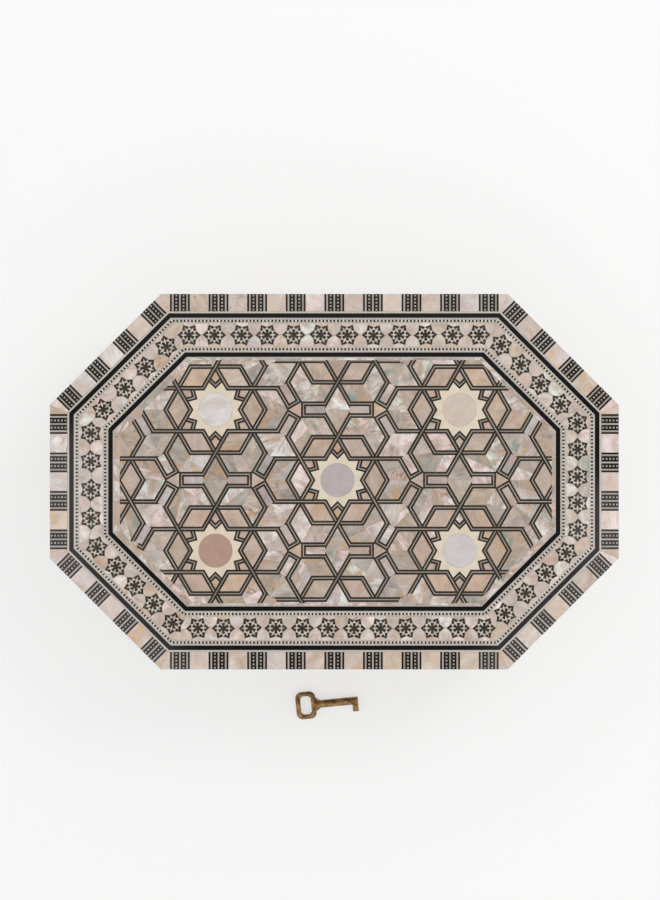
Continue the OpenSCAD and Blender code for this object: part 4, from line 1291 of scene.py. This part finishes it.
# %% [markdown]
# ## Velvet, and felt underneath
#
# Linings and pads are card or wadding with velvet pulled over, so their edges are rounded. Each is
# an outline pushed out along its normal and inset a few times as it rises, which is a quarter round
# made by hand. A sheet of felt is glued under the bottom.

# %% A padded panel
EDGE_STEPS = 4
SWELLS, SWELL_STEP = (0.6, 0.3, 0.1), 7 * MM


def raised(thickness, depth):
    bpy.ops.mesh.inset(thickness=thickness, depth=depth, use_individual=True)


def cushion(name, groups, thick, shoulder, swell=0.0):
    """Padded panels. Each group is a place and the outlines that lie there, seen from the front."""
    piece = flat_piece(name, groups)
    bpy.ops.object.mode_set(mode="EDIT")
    bpy.ops.mesh.select_all(action="SELECT")
    raised(0, thick - shoulder - swell)
    for i in range(EDGE_STEPS):
        low, high = (math.radians(90 / EDGE_STEPS * step) for step in (i, i + 1))
        raised(shoulder * (math.cos(low) - math.cos(high)),
               shoulder * (math.sin(high) - math.sin(low)))
    for share in SWELLS if swell else ():
        raised(SWELL_STEP, swell * share)
    bpy.ops.mesh.select_all(action="SELECT")
    bpy.ops.mesh.fill_holes(sides=0)
    bpy.ops.mesh.normals_make_consistent(inside=False)
    bpy.ops.object.mode_set(mode="OBJECT")
    smoothed(piece, 50)
    return piece


print("a padded edge rises in", EDGE_STEPS, "steps")


# %% Linings of the walls, and pads
def facing_in(k, d):
    """Sets a drawing on the inside of side k, at the distance d from the outer face."""
    place = on_side(k, 0, d=d)
    return lambda p: place(-p.conjugate())


WALL = LENGTH / 2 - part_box("wall_lining")[1].x
LINING = 1.2 * MM
PLATE_HALF, PLATE_LOW = 20.3 * MM, 43.7 * MM
for node, body in (("wall_lining", "base"), ("lid_wall_lining", "lid")):
    z0, z1 = (corner.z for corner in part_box(node))
    groups = []
    for k in SIDES:
        half = side_length(k, WALL + LINING) / 2
        outline = block(-half, half, z0, z1)
        if k == FRONT and body == "base":
            outline[2:3] = [complex(*p) for p in (
                (half, z1), (PLATE_HALF, z1), (PLATE_HALF, PLATE_LOW),
                (-PLATE_HALF, PLATE_LOW), (-PLATE_HALF, z1))]
        groups.append((facing_in(k, WALL), [outline]))
    piece = cushion(node + "_velvet", groups, LINING, 0.8 * MM)
    finish_piece(piece, body, "velvet", node, velvet)

for node, body, up in (("floor_pad", "base", 1), ("lid_pad", "lid", -1)):
    lo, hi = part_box(node)
    base_z = lo.z if up > 0 else hi.z
    outline = plan(LENGTH / 2 - hi.x)
    piece = cushion(node + "_velvet",
                    [(lambda p: Vector((up * p.real, p.imag, base_z)), [outline])],
                    hi.z - lo.z, 1.6 * MM, 0.6 * MM)
    finish_piece(piece, body, "velvet", node, velvet)

# %% The felt sheet
lo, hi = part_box("base_felt")
outline = plan(LENGTH / 2 - hi.x)
felt_sheet = laid("felt_sheet", [(at_height(hi.z), [outline])], hi.z - lo.z)
finish_piece(felt_sheet, "base", "felt", "base_felt", felt)
area(outline)

# %% [markdown]
# ## The studio
#
# The box lies on a pale table, seen from straight above through a long lens. A broad soft lamp at
# the upper right throws the faint shadow to the lower left. The room is plain and pale, but dark
# right overhead, as it is behind a camera, so the lacquered blacks stay black. Round that dark
# patch the ceiling shows as a bright strip, which the glossy outer border mirrors.

# %% Table and lamp
TABLE_SIZE = 6
LAMP_AT, LAMP_SIZE, LAMP_POWER = (0.9, 0.75, 1.5), 0.7, 7
bpy.ops.mesh.primitive_plane_add(size=TABLE_SIZE)
table = bpy.context.object
table.name = "table"
painted(table, new_material("table_top", Base_Color=tone(162, 162, 162), Roughness=0.9,
                            Specular_IOR_Level=0.0, Emission_Color=(1, 1, 1, 1),
                            Emission_Strength=0.6)[0])

bpy.ops.object.light_add(type="AREA", location=LAMP_AT)
lamp = bpy.context.object
lamp.data.shape, lamp.data.size, lamp.data.energy = "DISK", LAMP_SIZE, LAMP_POWER
lamp.rotation_euler = (-lamp.location).to_track_quat("-Z", "Y").to_euler()
print("a lamp of", LAMP_POWER, "W over the table")

# %% Room
PATCH_MIDDLE, PATCH_FRONT = 0.002, -0.056
STRIP_STARTS, STRIP_ENDS = (0.11, 0.119), (-0.009, 0.001)
BACK_FADES, OVERHEAD = (0.0, 0.12), (0.955, 0.98)
world = bpy.data.worlds.new("room")
bpy.context.scene.world = world
world.use_nodes = True
start = Value(world.node_tree)
way = start.node("TexCoord", {}, {}, 0)
across, back = way.part(0), way.part(1)
rim = (across - PATCH_MIDDLE).absolute() + (PATCH_FRONT - back).above(0.0)
beside_it = rim.step(*STRIP_STARTS) * (1 - (back + across * 0.1).step(*STRIP_ENDS))
behind = back.step(*BACK_FADES) * 0.45
overhead = way.part(2).step(*OVERHEAD)
dark = overhead * (1 - beside_it - behind)
background = world.node_tree.nodes["Background"].inputs
room = dark.mix(tone(240, 240, 240), tone(16, 16, 18))
start.feed(background["Color"], (beside_it * overhead).mix(room, tone(255, 248, 255)))
background["Strength"].default_value = 1.0
print("a pale room, dark overhead")

# %% Camera
EYE, VIEW_HEIGHT, SENSOR = (-2.27 * MM, 16.7 * MM, 1.2), 0.4745, 36
bpy.ops.object.camera_add(location=EYE)
camera = bpy.context.object
camera.data.lens = SENSOR * (EYE[2] - TOP) / VIEW_HEIGHT
bpy.context.scene.camera = camera
bpy.context.scene.view_settings.view_transform = "Standard"
bpy.ops.object.select_all(action="DESELECT")
print(f"lens of {camera.data.lens:.1f} mm")
